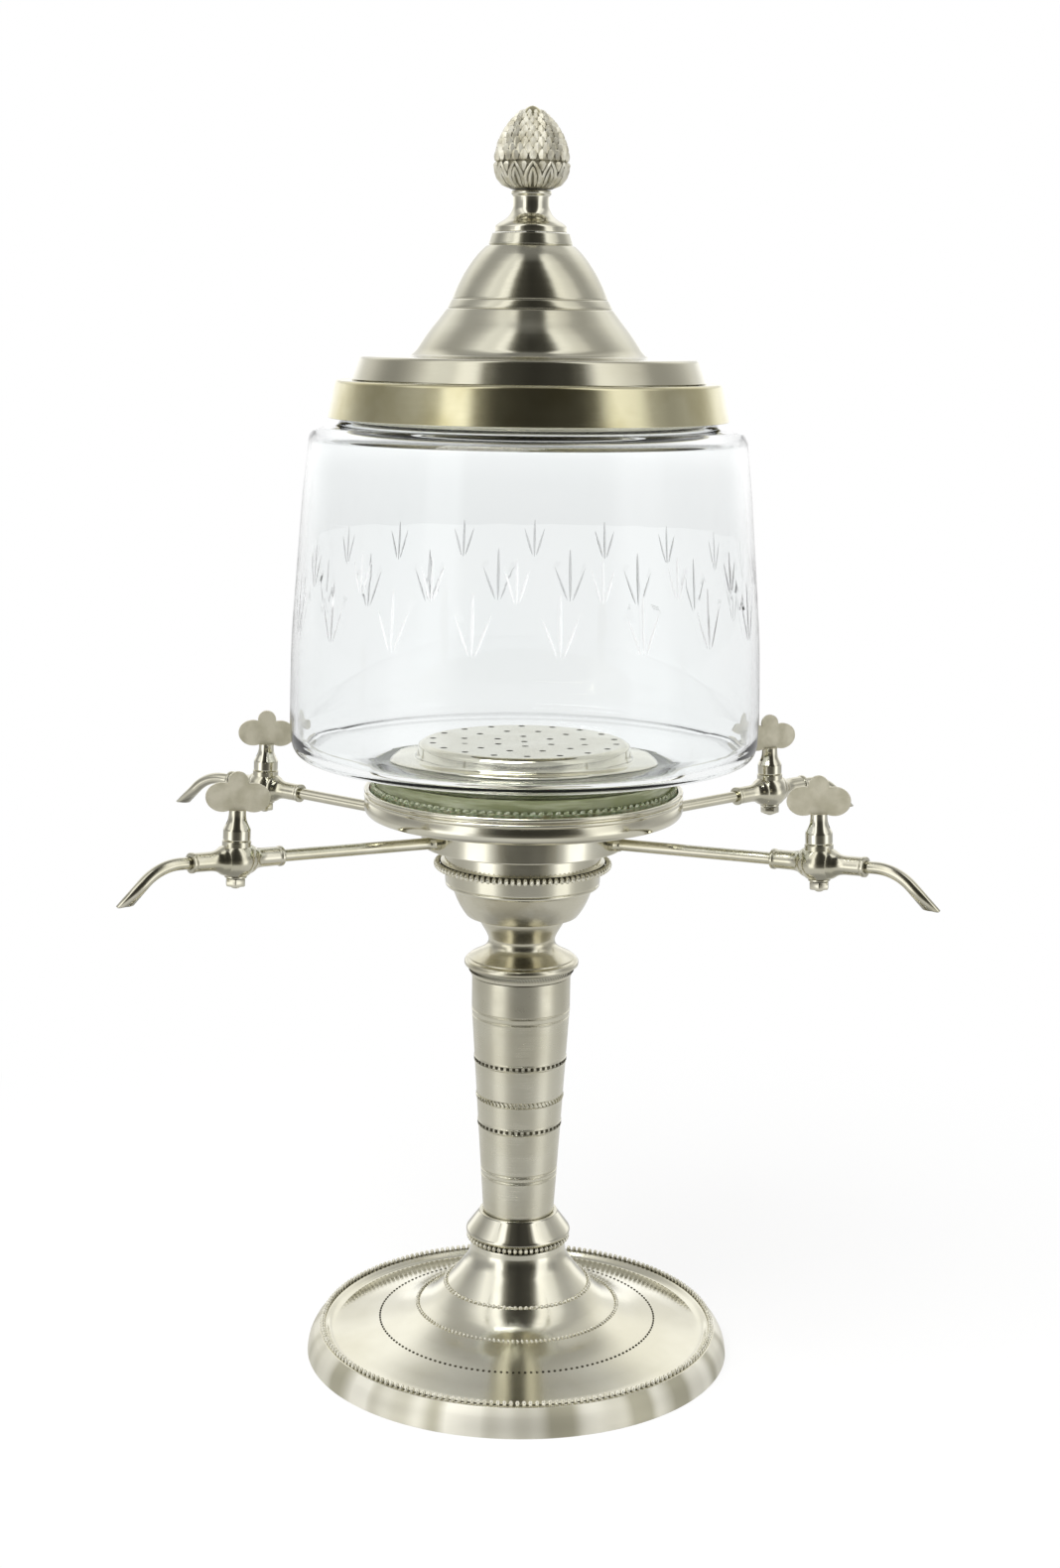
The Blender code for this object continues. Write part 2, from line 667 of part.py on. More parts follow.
def make_drum():
    seat_radius = DRUM_MID_RADIUS + DRUM_FLANGE_WIDTH
    bead_top = DRUM_LOW_HEIGHT + 2 * DRUM_BEAD_RADIUS + 2 * CLEARANCE
    outline = [
        (SPIGOT_BORE, DRUM_HEIGHT),
        (DRUM_TOP_RADIUS, DRUM_HEIGHT),
        (DRUM_TOP_RADIUS, DRUM_MID_HEIGHT),
        (DRUM_MID_RADIUS, DRUM_MID_HEIGHT),
        (DRUM_MID_RADIUS, bead_top),
        (seat_radius, bead_top),
        (seat_radius, DRUM_LOW_HEIGHT),
        (DRUM_LOW_RADIUS, DRUM_LOW_HEIGHT),
        (DRUM_LOW_RADIUS, 0),
        (0, 0),
    ]
    chamber = [
        (0, DRUM_FLOOR),
        (CHAMBER_RADIUS, DRUM_FLOOR),
        (CHAMBER_RADIUS, DRUM_HEIGHT - DRUM_FLOOR),
        (SPIGOT_BORE, DRUM_HEIGHT - DRUM_FLOOR),
        (SPIGOT_BORE, DRUM_HEIGHT),
    ]
    drum = turned(
        "drum", outline + chamber, "satin_nickel", DRUM_FOOT, segments=LARGE_SEGMENTS, closed=False
    )
    for label, _, _ in TAPS:
        drill_length = TAP_REACH / 2
        drill = add_piece(
            f"drum_drill_{label}",
            cylinder_mesh(f"drum_drill_{label}", TUBE_BORE, drill_length, TUBE_SIDES),
            parent=bpy.data.objects[f"tap_frame_{label}"],
        )
        drill.rotation_euler.y = math.pi / 2
        drill.location.x = -(TAP_REACH - CHAMBER_RADIUS / 2) / math.cos(ARM_RISE_ANGLE)
        combine(drum, drill, "DIFFERENCE")
    ring(
        "drum_bead_ring",
        seat_radius + CLEARANCE + DRUM_BEAD_RADIUS,
        DRUM_BEAD_RADIUS,
        "satin_nickel",
        DRUM_FOOT + DRUM_LOW_HEIGHT + CLEARANCE + DRUM_BEAD_RADIUS,
    )


def make_gallery():
    rim_inner = GALLERY_RADIUS - GALLERY_RIM_WALL
    lip_foot = GALLERY_HEIGHT - GALLERY_LIP_HEIGHT
    groove_foot = lip_foot - GALLERY_GROOVE_HEIGHT
    belly = (GALLERY_RADIUS, groove_foot)
    edge = (GALLERY_EDGE_RADIUS, 0)
    outline = [
        (SPIGOT_BORE, GALLERY_PLATE),
        (rim_inner, GALLERY_PLATE),
        (rim_inner, GALLERY_HEIGHT),
        (GALLERY_RADIUS, GALLERY_HEIGHT),
        (GALLERY_RADIUS, lip_foot),
        (GALLERY_RADIUS - GALLERY_GROOVE_DEPTH, lip_foot - GALLERY_GROOVE_HEIGHT / 2),
        belly,
    ]
    outline += bend(belly, edge, GALLERY_PULL_SHARES, 3)
    outline += [(SPIGOT_BORE, 0)]
    turned("gallery_dish", outline, "satin_nickel", GALLERY_FOOT, segments=LARGE_SEGMENTS)


def make_seal():
    outer = GALLERY_RADIUS - GALLERY_RIM_WALL - CLEARANCE
    inner = JAR_FOOT_RADIUS + CLEARANCE
    outline = [
        (SEAL_INNER_RADIUS, SEAL_THICKNESS),
        (inner, SEAL_THICKNESS),
        (inner, SEAL_LIP_HEIGHT),
        (outer, SEAL_LIP_HEIGHT),
        (outer, 0),
        (SEAL_INNER_RADIUS, 0),
    ]
    turned("jar_seal", outline, "green_seal", SEAL_FOOT, segments=LARGE_SEGMENTS)


# Jar, outlet and strainer


def make_jar():
    neck_foot = JAR_HEIGHT - JAR_NECK_DROP
    shoulder_height = JAR_HEIGHT - JAR_SHOULDER_DROP
    foot_top = JAR_FOOT_HEIGHT - JAR_FLOOR
    shoulder = (JAR_SHOULDER_RADIUS, shoulder_height)
    neck_corner = (JAR_NECK_RADIUS + JAR_WALL, neck_foot - JAR_WALL)
    belly = (JAR_RADIUS, JAR_BELLY_HEIGHT)
    bottom_edge = (JAR_FOOT_RADIUS, foot_top)
    foot_inner = JAR_FOOT_RADIUS - JAR_FOOT_WIDTH
    floor_edge = (JAR_FLOOR_RADIUS, JAR_FOOT_HEIGHT)
    inner_belly = (JAR_RADIUS - JAR_WALL, JAR_BELLY_HEIGHT)
    inner_shoulder = (JAR_SHOULDER_RADIUS - JAR_WALL, shoulder_height)
    inner_neck = (JAR_NECK_RADIUS, neck_foot - 2 * JAR_WALL)
    outline = [
        (JAR_NECK_RADIUS, JAR_HEIGHT),
        (JAR_NECK_RADIUS, neck_foot),
        neck_corner,
    ]
    outline += bend(neck_corner, shoulder, JAR_EDGE_PULL_SHARES, 3)
    outline += bend(shoulder, belly, JAR_WALL_PULL_SHARES, JAR_WALL_STEPS)
    outline += bend(belly, bottom_edge, JAR_BOTTOM_PULL_SHARES, JAR_BOTTOM_STEPS)
    outline += [
        (JAR_FOOT_RADIUS, 0),
        (foot_inner, 0),
        (foot_inner, foot_top),
        (SPIGOT_BORE, foot_top),
        (SPIGOT_BORE, JAR_FOOT_HEIGHT),
        floor_edge,
    ]
    outline += bend(floor_edge, inner_belly, JAR_FLOOR_PULL_SHARES, JAR_BOTTOM_STEPS)
    outline += bend(inner_belly, inner_shoulder, back(JAR_WALL_PULL_SHARES), JAR_WALL_STEPS)
    outline += bend(inner_shoulder, inner_neck, back(JAR_EDGE_PULL_SHARES), 2)
    outline += [
        (JAR_NECK_RADIUS - JAR_WALL, neck_foot),
        (JAR_NECK_RADIUS - JAR_WALL, JAR_HEIGHT),
    ]
    turned("glass_jar", outline, "clear_glass", JAR_FOOT, segments=LARGE_SEGMENTS)


def make_spigot():
    gasket_foot = JAR_INNER_FLOOR
    flange_foot = gasket_foot + GASKET_THICKNESS + CLEARANCE
    tail_foot = DRUM_TOP - DRUM_FLOOR - SPIGOT_TAIL
    length = flange_foot - tail_foot
    outline = [
        (SPIGOT_BORE_RADIUS, length + SPIGOT_FLANGE_THICKNESS),
        (SPIGOT_FLANGE_RADIUS, length + SPIGOT_FLANGE_THICKNESS),
        (SPIGOT_FLANGE_RADIUS, length),
        (SPIGOT_RADIUS, length),
        (SPIGOT_RADIUS, 0),
        (SPIGOT_BORE_RADIUS, 0),
    ]
    turned("outlet_fitting", outline, "bare_steel", tail_foot, segments=SMALL_SEGMENTS)
    washer(
        "outlet_gasket",
        SPIGOT_FLANGE_RADIUS,
        SPIGOT_BORE,
        GASKET_THICKNESS,
        "black_rubber",
        gasket_foot,
    )


def strainer_drills():
    """All the strainer's holes as one cutter."""
    mesh = bpy.data.meshes.new("strainer_drills")
    shape = bmesh.new()
    places = [(0, 0)]
    for share, count in zip(STRAINER_RING_SHARES, STRAINER_RING_HOLES):
        for hole in range(count):
            angle = 2 * math.pi * (hole + STRAINER_START_SHARE) / count
            radius = share * STRAINER_RADIUS
            places.append((radius * math.cos(angle), radius * math.sin(angle)))
    for x, y in places:
        created = bmesh.ops.create_cone(
            shape,
            cap_ends=True,
            segments=STRAINER_HOLE_SIDES,
            radius1=STRAINER_HOLE_RADIUS,
            radius2=STRAINER_HOLE_RADIUS,
            depth=2 * OVERRUN,
        )
        bmesh.ops.translate(shape, vec=(x, y, 0), verts=created["verts"])
    shape.to_mesh(mesh)
    shape.free()
    return mesh


def make_strainer():
    brim = (STRAINER_BRIM_RADIUS, STRAINER_BRIM_HEIGHT)
    outline = [
        (0, STRAINER_HEIGHT),
        (STRAINER_RADIUS - STRAINER_CORNER, STRAINER_HEIGHT),
        (STRAINER_RADIUS, STRAINER_HEIGHT - STRAINER_CORNER),
        (STRAINER_RADIUS, STRAINER_BRIM_HEIGHT),
        brim,
        (STRAINER_BRIM_RADIUS, 0),
    ]
    strainer = turned(
        "strainer_cap",
        outline,
        "polished_nickel",
        JAR_INNER_FLOOR,
        segments=LARGE_SEGMENTS,
        closed=False,
    )
    thicken(strainer, STRAINER_WALL)
    drills = add_piece("strainer_drills", strainer_drills(), height=JAR_INNER_FLOOR + STRAINER_HEIGHT)
    combine(strainer, drills, "DIFFERENCE")


# Lid and finial


def make_lid():
    band_foot_radius = BAND_TOP_RADIUS + BAND_FLARE
    band_outline = [
        (LID_SEAT_RADIUS, BAND_HEIGHT),
        (BAND_TOP_RADIUS, BAND_HEIGHT),
        (band_foot_radius, 0),
        (band_foot_radius - BAND_WALL, 0),
        (BAND_TOP_RADIUS - BAND_WALL, BAND_HEIGHT - BAND_WALL),
        (LID_SEAT_RADIUS, BAND_HEIGHT - BAND_WALL),
    ]
    turned("lid_band", band_outline, "aged_band", BAND_TOP - BAND_HEIGHT, segments=LARGE_SEGMENTS)

    ring_inner = LOCATING_RING_RADIUS - LOCATING_RING_WALL
    flange_foot = LOCATING_RING_DEPTH - LOCATING_RING_WALL
    ring_outline = [
        (LID_SEAT_RADIUS, LOCATING_RING_DEPTH),
        (LOCATING_RING_RADIUS, LOCATING_RING_DEPTH),
        (LOCATING_RING_RADIUS, 0),
        (ring_inner, 0),
        (ring_inner, flange_foot),
        (LID_SEAT_RADIUS, flange_foot),
    ]
    turned(
        "lid_locating_ring",
        ring_outline,
        "satin_nickel",
        BAND_TOP - BAND_WALL - CLEARANCE - LOCATING_RING_DEPTH,
        segments=LARGE_SEGMENTS,
    )

    cap_foot = (LID_CAP_FOOT_RADIUS, LID_HEIGHT - LID_CAP_HEIGHT)
    neck = (LID_NECK_RADIUS, LID_NECK_HEIGHT)
    line = (LID_LINE_RADIUS, LID_LINE_HEIGHT)
    fillet = LID_CONE_FOOT_HEIGHT - LID_SHOULDER_HEIGHT
    ledge = (LID_FOOT_RADIUS - LID_CORNER_WIDTH, LID_SHOULDER_HEIGHT)
    outline = [(STUD_BORE, LID_HEIGHT), (LID_CAP_RADIUS, LID_HEIGHT), cap_foot, neck]
    outline += bend(neck, line, LID_CONE_PULL_SHARES, 3)
    outline += [
        (LID_LOWER_LINE_RADIUS, LID_LOWER_LINE_HEIGHT),
        (LID_CONE_FOOT_RADIUS, LID_CONE_FOOT_HEIGHT),
        (LID_CONE_FOOT_RADIUS + fillet, LID_SHOULDER_HEIGHT),
        ledge,
    ]
    outline += bend(ledge, (LID_FOOT_RADIUS, LID_FOOT_EDGE), LID_CORNER_PULL_SHARES, 2)
    outline += [(LID_FOOT_RADIUS, 0)]
    lid = turned("lid_cone", outline, "satin_nickel", LID_FOOT, segments=LARGE_SEGMENTS, closed=False)
    thicken(lid, LID_WALL)


def make_finial():
    seat_height = FINIAL_NECK_HEIGHT
    waist = (FINIAL_NECK_RADIUS, FINIAL_NECK_SHARE * FINIAL_NECK_HEIGHT)
    collar_edge = (FINIAL_COLLAR_RADIUS, FINIAL_COLLAR_HEIGHT)
    outline = [
        (STUD_BORE, seat_height),
        (FINIAL_NECK_RADIUS, seat_height),
        (FINIAL_SEAT_RADIUS, seat_height - FINIAL_SEAT_HEIGHT / 3),
        (FINIAL_NECK_RADIUS, seat_height - 2 * FINIAL_SEAT_HEIGHT / 3),
        waist,
    ]
    outline += bend(waist, collar_edge, FINIAL_FLARE_PULL_SHARES, 4)
    outline += [(FINIAL_COLLAR_RADIUS, 0), (STUD_BORE, 0)]
    turned("finial_neck", outline, "polished_nickel", FINIAL_FOOT)

    tip = (0, CONE_HEIGHT)
    belly = (CONE_RADIUS, CONE_BELLY_SHARE * CONE_HEIGHT)
    foot = (FINIAL_SEAT_RADIUS, 0)
    cone = [tip]
    cone += bend(tip, belly, CONE_TIP_PULL_SHARES, 5)
    cone += bend(belly, foot, CONE_CUP_PULL_SHARES, 3)
    cone += [(STUD_BORE, 0), (STUD_BORE, STUD_GRIP), (0, STUD_GRIP)]
    turned("finial_pinecone", cone, "cast_nickel", CONE_FOOT, closed=False)

    washer_foot = LID_TOP - LID_WALL - CLEARANCE - LID_WASHER_THICKNESS
    nut_foot = washer_foot - CLEARANCE - LID_NUT_HEIGHT
    stud_foot = nut_foot - STUD_TAIL
    stud_length = CONE_FOOT + STUD_GRIP - CLEARANCE - stud_foot
    stud_mesh = cylinder_mesh("finial_stud", STUD_RADIUS, stud_length, SMALL_SEGMENTS)
    add_piece("finial_stud", stud_mesh, "bare_steel", stud_foot)
    washer(
        "finial_washer",
        LID_WASHER_RADIUS,
        STUD_BORE,
        LID_WASHER_THICKNESS,
        "bare_steel",
        washer_foot,
    )
    nut = nut_mesh("finial_nut", LID_NUT_WIDTH, LID_NUT_HEIGHT, STUD_BORE)
    add_piece("finial_nut", nut, "bare_steel", nut_foot)


# Taps


def tap_azimuth(side, depth):
    """Angle of an arm about Z: each pair is turned the same way from the X axis."""
    return math.atan2(depth * math.sin(TAP_SIDE_ANGLE), side * math.cos(TAP_SIDE_ANGLE))


def add_tap_frames():
    for label, side, depth in TAPS:
        plane = add_frame(f"tap_plane_{label}", (0, 0, 0), (0, 0, tap_azimuth(side, depth)))
        frame = add_frame(
            f"tap_frame_{label}", (TAP_REACH, 0, TAP_HEIGHT), (0, -ARM_RISE_ANGLE, 0), plane
        )
        # The handle's face is square to the key's own Y, so its yaw is counted from the X axis of the world
        yaw = KEY_YAWS[label] - tap_azimuth(side, depth)
        add_frame(f"tap_key_axis_{label}", (0, 0, 0), (0, 0, yaw), frame)


def arm_mesh():
    """The water pipe between the drum and a tap, lying along -X of the tap's frame."""
    root = (TAP_REACH - CHAMBER_RADIUS - ARM_ROOT_DEPTH) / math.cos(ARM_RISE_ANGLE)
    length = root - SOCKET_REACH + SOCKET_TUBE_DEPTH
    bar = add_piece("arm_bar", cylinder_mesh("arm_bar", ARM_RADIUS, length, TUBE_SIDES))
    drill_mesh = cylinder_mesh("arm_drill", ARM_BORE_RADIUS, length + 2 * OVERRUN, TUBE_SIDES)
    drill = add_piece("arm_drill", drill_mesh, height=-OVERRUN)
    combine(bar, drill, "DIFFERENCE")
    return baked(bar, [drill])


def body_mesh():
    """Ball with its boss, two pipe sockets and a tapered hole for the plug."""
    boss_level = math.sqrt(BALL_RADIUS**2 - BALL_BOSS_RADIUS**2)
    start = math.asin(boss_level / BALL_RADIUS)
    end = math.asin(-BALL_FOOT_DEPTH / BALL_RADIUS)
    outline = [(0, BALL_TOP_HEIGHT), (BALL_BOSS_RADIUS, BALL_TOP_HEIGHT)]
    for step in range(BALL_STEPS + 1):
        angle = start + (end - start) * step / BALL_STEPS
        outline.append((BALL_RADIUS * math.cos(angle), BALL_RADIUS * math.sin(angle)))
    outline.append((0, -BALL_FOOT_DEPTH))
    ball = turned("tap_ball", outline, None, segments=SMALL_SEGMENTS, closed=False)

    socket_outline = [
        (0, SOCKET_REACH),
        (SOCKET_LIP_RADIUS, SOCKET_REACH),
        (SOCKET_LIP_RADIUS, SOCKET_REACH - SOCKET_LIP_LENGTH),
        (SOCKET_RADIUS, SOCKET_REACH - SOCKET_LIP_LENGTH),
        (SOCKET_RADIUS, -SOCKET_REACH),
        (0, -SOCKET_REACH),
    ]
    sockets = turned("tap_sockets", socket_outline, None, segments=SMALL_SEGMENTS, closed=False)
    sockets.rotation_euler.y = math.pi / 2
    combine(ball, sockets, "UNION")

    bore_length = 2 * (SOCKET_REACH + OVERRUN)
    bore_mesh = cylinder_mesh("tap_bore", TUBE_BORE, bore_length, TUBE_SIDES)
    bore = add_piece("tap_bore", bore_mesh)
    bore.rotation_euler.y = math.pi / 2
    bore.location.x = -bore_length / 2
    combine(ball, bore, "DIFFERENCE")

    slope = (PLUG_TOP_RADIUS - PLUG_FOOT_RADIUS) / (BALL_TOP_HEIGHT + BALL_FOOT_DEPTH)
    reamer_mesh = cylinder_mesh(
        "tap_reamer",
        PLUG_FOOT_RADIUS + CLEARANCE - slope * OVERRUN,
        BALL_TOP_HEIGHT + BALL_FOOT_DEPTH + 2 * OVERRUN,
        SMALL_SEGMENTS,
        PLUG_TOP_RADIUS + CLEARANCE + slope * OVERRUN,
    )
    reamer = add_piece("tap_reamer", reamer_mesh, height=-BALL_FOOT_DEPTH - OVERRUN)
    combine(ball, reamer, "DIFFERENCE")
    return baked(ball, [sockets, bore, reamer])


def spout_points(extra):
    """The spout's middle line in its arm's upright plane, run on by extra at both ends."""
    start_reach = SOCKET_REACH - SOCKET_TUBE_DEPTH - extra
    straight_reach = SOCKET_REACH + SPOUT_STRAIGHT
    rise = Vector((math.cos(ARM_RISE_ANGLE), 0, math.sin(ARM_RISE_ANGLE)))
    centre = Vector((TAP_REACH, 0, TAP_HEIGHT))
    points = [centre + start_reach * rise, centre + straight_reach * rise]
    place = points[-1].copy()
    heading = ARM_RISE_ANGLE
    turn = (ARM_RISE_ANGLE + SPOUT_DROOP_ANGLE) / SPOUT_BEND_STEPS
    chord = 2 * SPOUT_BEND_RADIUS * math.sin(turn / 2)
    for _ in range(SPOUT_BEND_STEPS):
        middle = heading - turn / 2
        place += chord * Vector((math.cos(middle), 0, math.sin(middle)))
        points.append(place.copy())
        heading -= turn
    droop = Vector((math.cos(SPOUT_DROOP_ANGLE), 0, -math.sin(SPOUT_DROOP_ANGLE)))
    fall = place.z - (TAP_HEIGHT - SPOUT_DROP) + 2 * ARM_RADIUS
    points.append(place + (fall / math.sin(SPOUT_DROOP_ANGLE) + extra) * droop)
    return points


def spout_mesh():
    """A bent pipe whose mouth is cut level."""
    pipe = add_piece("spout_pipe", tube_mesh("spout_pipe", spout_points(0), ARM_RADIUS))
    bore_mesh = tube_mesh("spout_bore", spout_points(OVERRUN), ARM_BORE_RADIUS)
    bore = add_piece("spout_bore", bore_mesh)
    combine(pipe, bore, "DIFFERENCE")
    hollow = add_piece("spout_hollow", baked(pipe, [bore]))
    block_mesh = bpy.data.meshes.new("spout_block")
    shape = bmesh.new()
    bmesh.ops.create_cube(shape, size=TAP_REACH)
    shape.to_mesh(block_mesh)
    shape.free()
    block = add_piece("spout_block", block_mesh)
    block.location.x = TAP_REACH + SOCKET_REACH + SPOUT_STRAIGHT
    block.location.z = TAP_HEIGHT - SPOUT_DROP - TAP_REACH / 2
    combine(hollow, block, "DIFFERENCE")
    return baked(hollow, [block])


def key_mesh():
    """Plug, collar and stem in one turning, with a slot for the handle and a water way across."""
    collar_foot = BALL_TOP_HEIGHT + CLEARANCE
    collar_top = collar_foot + KEY_COLLAR_HEIGHT
    stem_foot = collar_top + KEY_SHOULDER_HEIGHT
    stem_top = stem_foot + KEY_STEM_HEIGHT
    screw_foot = key_screw_foot()
    outline = [
        (0, stem_top),
        (KEY_STEM_RADIUS, stem_top),
        (KEY_STEM_FOOT_RADIUS, stem_foot),
        (KEY_COLLAR_RADIUS, collar_top),
        (KEY_COLLAR_RADIUS, collar_foot),
        (PLUG_TOP_RADIUS, collar_foot),
        (PLUG_TOP_RADIUS, BALL_TOP_HEIGHT),
        (PLUG_FOOT_RADIUS, -BALL_FOOT_DEPTH),
        (PLUG_SCREW_RADIUS, -BALL_FOOT_DEPTH),
        (PLUG_SCREW_RADIUS, screw_foot),
        (0, screw_foot),
    ]
    key = turned("tap_key", outline, None, segments=SMALL_SEGMENTS, closed=False)

    slot_mesh = bpy.data.meshes.new("key_slot")
    shape = bmesh.new()
    bmesh.ops.create_cube(shape, size=1)
    slot_height = KEY_STEM_HEIGHT + OVERRUN
    slot_size = (2 * KEY_COLLAR_RADIUS, HANDLE_THICKNESS + 2 * CLEARANCE, slot_height)
    bmesh.ops.scale(shape, vec=slot_size, verts=shape.verts)
    shape.to_mesh(slot_mesh)
    shape.free()
    slot = add_piece("key_slot", slot_mesh, height=stem_foot + slot_height / 2)
    combine(key, slot, "DIFFERENCE")

    port_length = 2 * (PLUG_TOP_RADIUS + OVERRUN)
    port = add_piece("key_port", cylinder_mesh("key_port", PLUG_PORT_RADIUS, port_length, TUBE_SIDES))
    port.rotation_euler.y = math.pi / 2
    port.location.x = -port_length / 2
    combine(key, port, "DIFFERENCE")
    return baked(key, [slot, port])


def key_screw_foot():
    nut_foot = -BALL_FOOT_DEPTH - TAP_WASHER_THICKNESS - TAP_NUT_HEIGHT - 2 * CLEARANCE
    return nut_foot - TAP_SCREW_TAIL


def handle_outline():
    """Two wide lobes with a small crown between them, over a tang that fills the stem's slot."""
    stem_foot = BALL_TOP_HEIGHT + CLEARANCE + KEY_COLLAR_HEIGHT + KEY_SHOULDER_HEIGHT
    tang_foot = stem_foot + CLEARANCE
    lobe_level = stem_foot + KEY_STEM_HEIGHT + HANDLE_LOBE_HEIGHT - HANDLE_SINK
    tang_half = HANDLE_TANG_WIDTH / 2
    join = math.acos((HANDLE_LOBE_OFFSET - tang_half) / HANDLE_LOBE_WIDTH)
    crown_level = lobe_level + HANDLE_CROWN_HEIGHT
    right = []
    start = -math.pi + join
    for step in range(HANDLE_LOBE_POINTS + 1):
        angle = start + (HANDLE_LOBE_END - start) * step / HANDLE_LOBE_POINTS
        x = HANDLE_LOBE_OFFSET + HANDLE_LOBE_WIDTH * math.cos(angle)
        right.append((x, lobe_level + HANDLE_LOBE_HEIGHT * math.sin(angle)))
    crown = []
    for step in range(HANDLE_CROWN_POINTS):
        angle = math.pi / 2 * step / HANDLE_CROWN_POINTS
        x = HANDLE_CROWN_RADIUS * math.cos(angle)
        crown.append((x, crown_level + HANDLE_CROWN_RADIUS * math.sin(angle)))
    half = [(tang_half, tang_foot)] + right + crown
    mirrored = [(-x, z) for x, z in reversed(half)]
    return half + [(0, crown_level + HANDLE_CROWN_RADIUS)] + mirrored


def handle_mesh():
    curve = bpy.data.curves.new("tap_handle", "CURVE")
    curve.dimensions = "2D"
    curve.fill_mode = "BOTH"
    curve.extrude = HANDLE_THICKNESS / 2
    points = handle_outline()
    spline = curve.splines.new("POLY")
    spline.points.add(len(points) - 1)
    spline.use_cyclic_u = True
    for control, (x, z) in zip(spline.points, points):
        control.co = (x, z, 0, 1)
    plate = bpy.data.objects.new("tap_handle_plate", curve)
    CUTTERS.objects.link(plate)
    return baked(plate)


def make_taps():
    arm = arm_mesh()
    body = body_mesh()
    spout = spout_mesh()
    key = key_mesh()
    handle = handle_mesh()
    nut = nut_mesh("tap_nut", TAP_NUT_WIDTH, TAP_NUT_HEIGHT, PLUG_SCREW_RADIUS + CLEARANCE)
    washer_foot = -BALL_FOOT_DEPTH - CLEARANCE - TAP_WASHER_THICKNESS
    for label, _, _ in TAPS:
        plane = bpy.data.objects[f"tap_plane_{label}"]
        frame = bpy.data.objects[f"tap_frame_{label}"]
        axis = bpy.data.objects[f"tap_key_axis_{label}"]
        pipe = add_piece(f"arm_pipe_{label}", arm.copy(), "satin_nickel", parent=frame)
        pipe.rotation_euler.y = -math.pi / 2
        pipe.location.x = -(SOCKET_REACH - SOCKET_TUBE_DEPTH)
        add_piece(f"tap_body_{label}", body.copy(), "polished_nickel", parent=frame)
        add_piece(f"tap_spout_{label}", spout.copy(), "satin_nickel", parent=plane)
        add_piece(f"tap_key_{label}", key.copy(), "polished_nickel", parent=axis)
        blade = add_piece(f"tap_handle_{label}", handle.copy(), "cast_nickel", parent=axis)
        blade.rotation_euler.x = math.pi / 2
        washer(
            f"tap_washer_{label}",
            TAP_WASHER_RADIUS,
            PLUG_SCREW_RADIUS + CLEARANCE,
            TAP_WASHER_THICKNESS,
            "satin_nickel",
            washer_foot,
            axis,
        )
        nut_foot = washer_foot - CLEARANCE - TAP_NUT_HEIGHT
        add_piece(f"tap_nut_{label}", nut.copy(), "satin_nickel", nut_foot, axis)


clear_scene()
FOUNTAIN = new_collection("absinthe_fountain")
CUTTERS = new_collection("cutters")
add_tap_frames()
make_base()
make_tie_rod()
make_knop()
make_column()
make_capital()
make_bowl()
make_drum()
make_gallery()
make_seal()
make_jar()
make_spigot()
make_strainer()
make_lid()
make_finial()
make_taps()
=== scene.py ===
import math

import bpy
from mathutils import Matrix, Vector


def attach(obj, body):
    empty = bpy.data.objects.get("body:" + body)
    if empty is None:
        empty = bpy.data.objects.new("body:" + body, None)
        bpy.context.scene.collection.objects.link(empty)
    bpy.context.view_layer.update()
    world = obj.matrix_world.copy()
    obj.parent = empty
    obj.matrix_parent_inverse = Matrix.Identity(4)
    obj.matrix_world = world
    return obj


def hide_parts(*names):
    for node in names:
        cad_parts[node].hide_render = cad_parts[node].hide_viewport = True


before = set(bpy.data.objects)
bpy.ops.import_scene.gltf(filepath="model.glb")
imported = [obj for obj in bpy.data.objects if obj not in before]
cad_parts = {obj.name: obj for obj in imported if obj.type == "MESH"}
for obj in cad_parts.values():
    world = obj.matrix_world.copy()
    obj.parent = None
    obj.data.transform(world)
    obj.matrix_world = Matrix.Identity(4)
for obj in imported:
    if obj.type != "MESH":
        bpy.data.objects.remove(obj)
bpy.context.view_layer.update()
scene = bpy.context.scene
mm = 0.001
smooth = 99  # as a point's rounding: its arc runs into the next one, so the line is one curve
weld = 0.004 * mm
# reaches and lengths in mm, and degrees to a step
arcs = {"small": 1.2, "smallStep": 30, "largeStep": 7, "flat": 0.7, "guard": 0.3}


# Working tools

def deselectAll():
    bpy.ops.object.select_all(action="DESELECT")


def makeActive(piece):
    deselectAll()
    piece.select_set(True)
    bpy.context.view_layer.objects.active = piece


def softLine(outline):
    # (across, up, rounding) in mm to plain points; the rounding is how far the arc reaches along both sides
    line = []
    last = len(outline) - 1
    for index, (across, up, reach) in enumerate(outline):
        here = Vector((across, up))
        if reach == 0 or index in (0, last):
            line.append(here)
            continue
        back = Vector(outline[index - 1][:2]) - here
        ahead = Vector(outline[index + 1][:2]) - here
        cut = min(reach, back.length / 2, ahead.length / 2)
        turn = math.pi - back.angle(ahead)
        step = arcs["smallStep"] if reach < arcs["small"] else arcs["largeStep"]
        steps = max(2, math.ceil(turn / math.radians(step)))
        start = here + back.normalized() * cut
        end = here + ahead.normalized() * cut
        if back.length / 2 - cut > arcs["flat"]:  # a line beside the arc keeps the flat from shading round
            line.append(start + back.normalized() * arcs["guard"])
        for place in range(steps + 1):
            t = place / steps
            line.append((1 - t) ** 2 * start + 2 * t * (1 - t) * here + t ** 2 * end)
        if ahead.length / 2 - cut > arcs["flat"]:
            line.append(end + ahead.normalized() * arcs["guard"])
    return line


def applyPlace():
    bpy.ops.object.transform_apply(location=True, rotation=True, scale=True)


def copiesRound(count):
    # turned copies of all that is selected, evenly round Z
    bpy.ops.mesh.spin(steps=count - 1, angle=math.tau * (count - 1) / count, center=(0, 0, 0),
                      axis=(0, 0, 1), dupli=True)


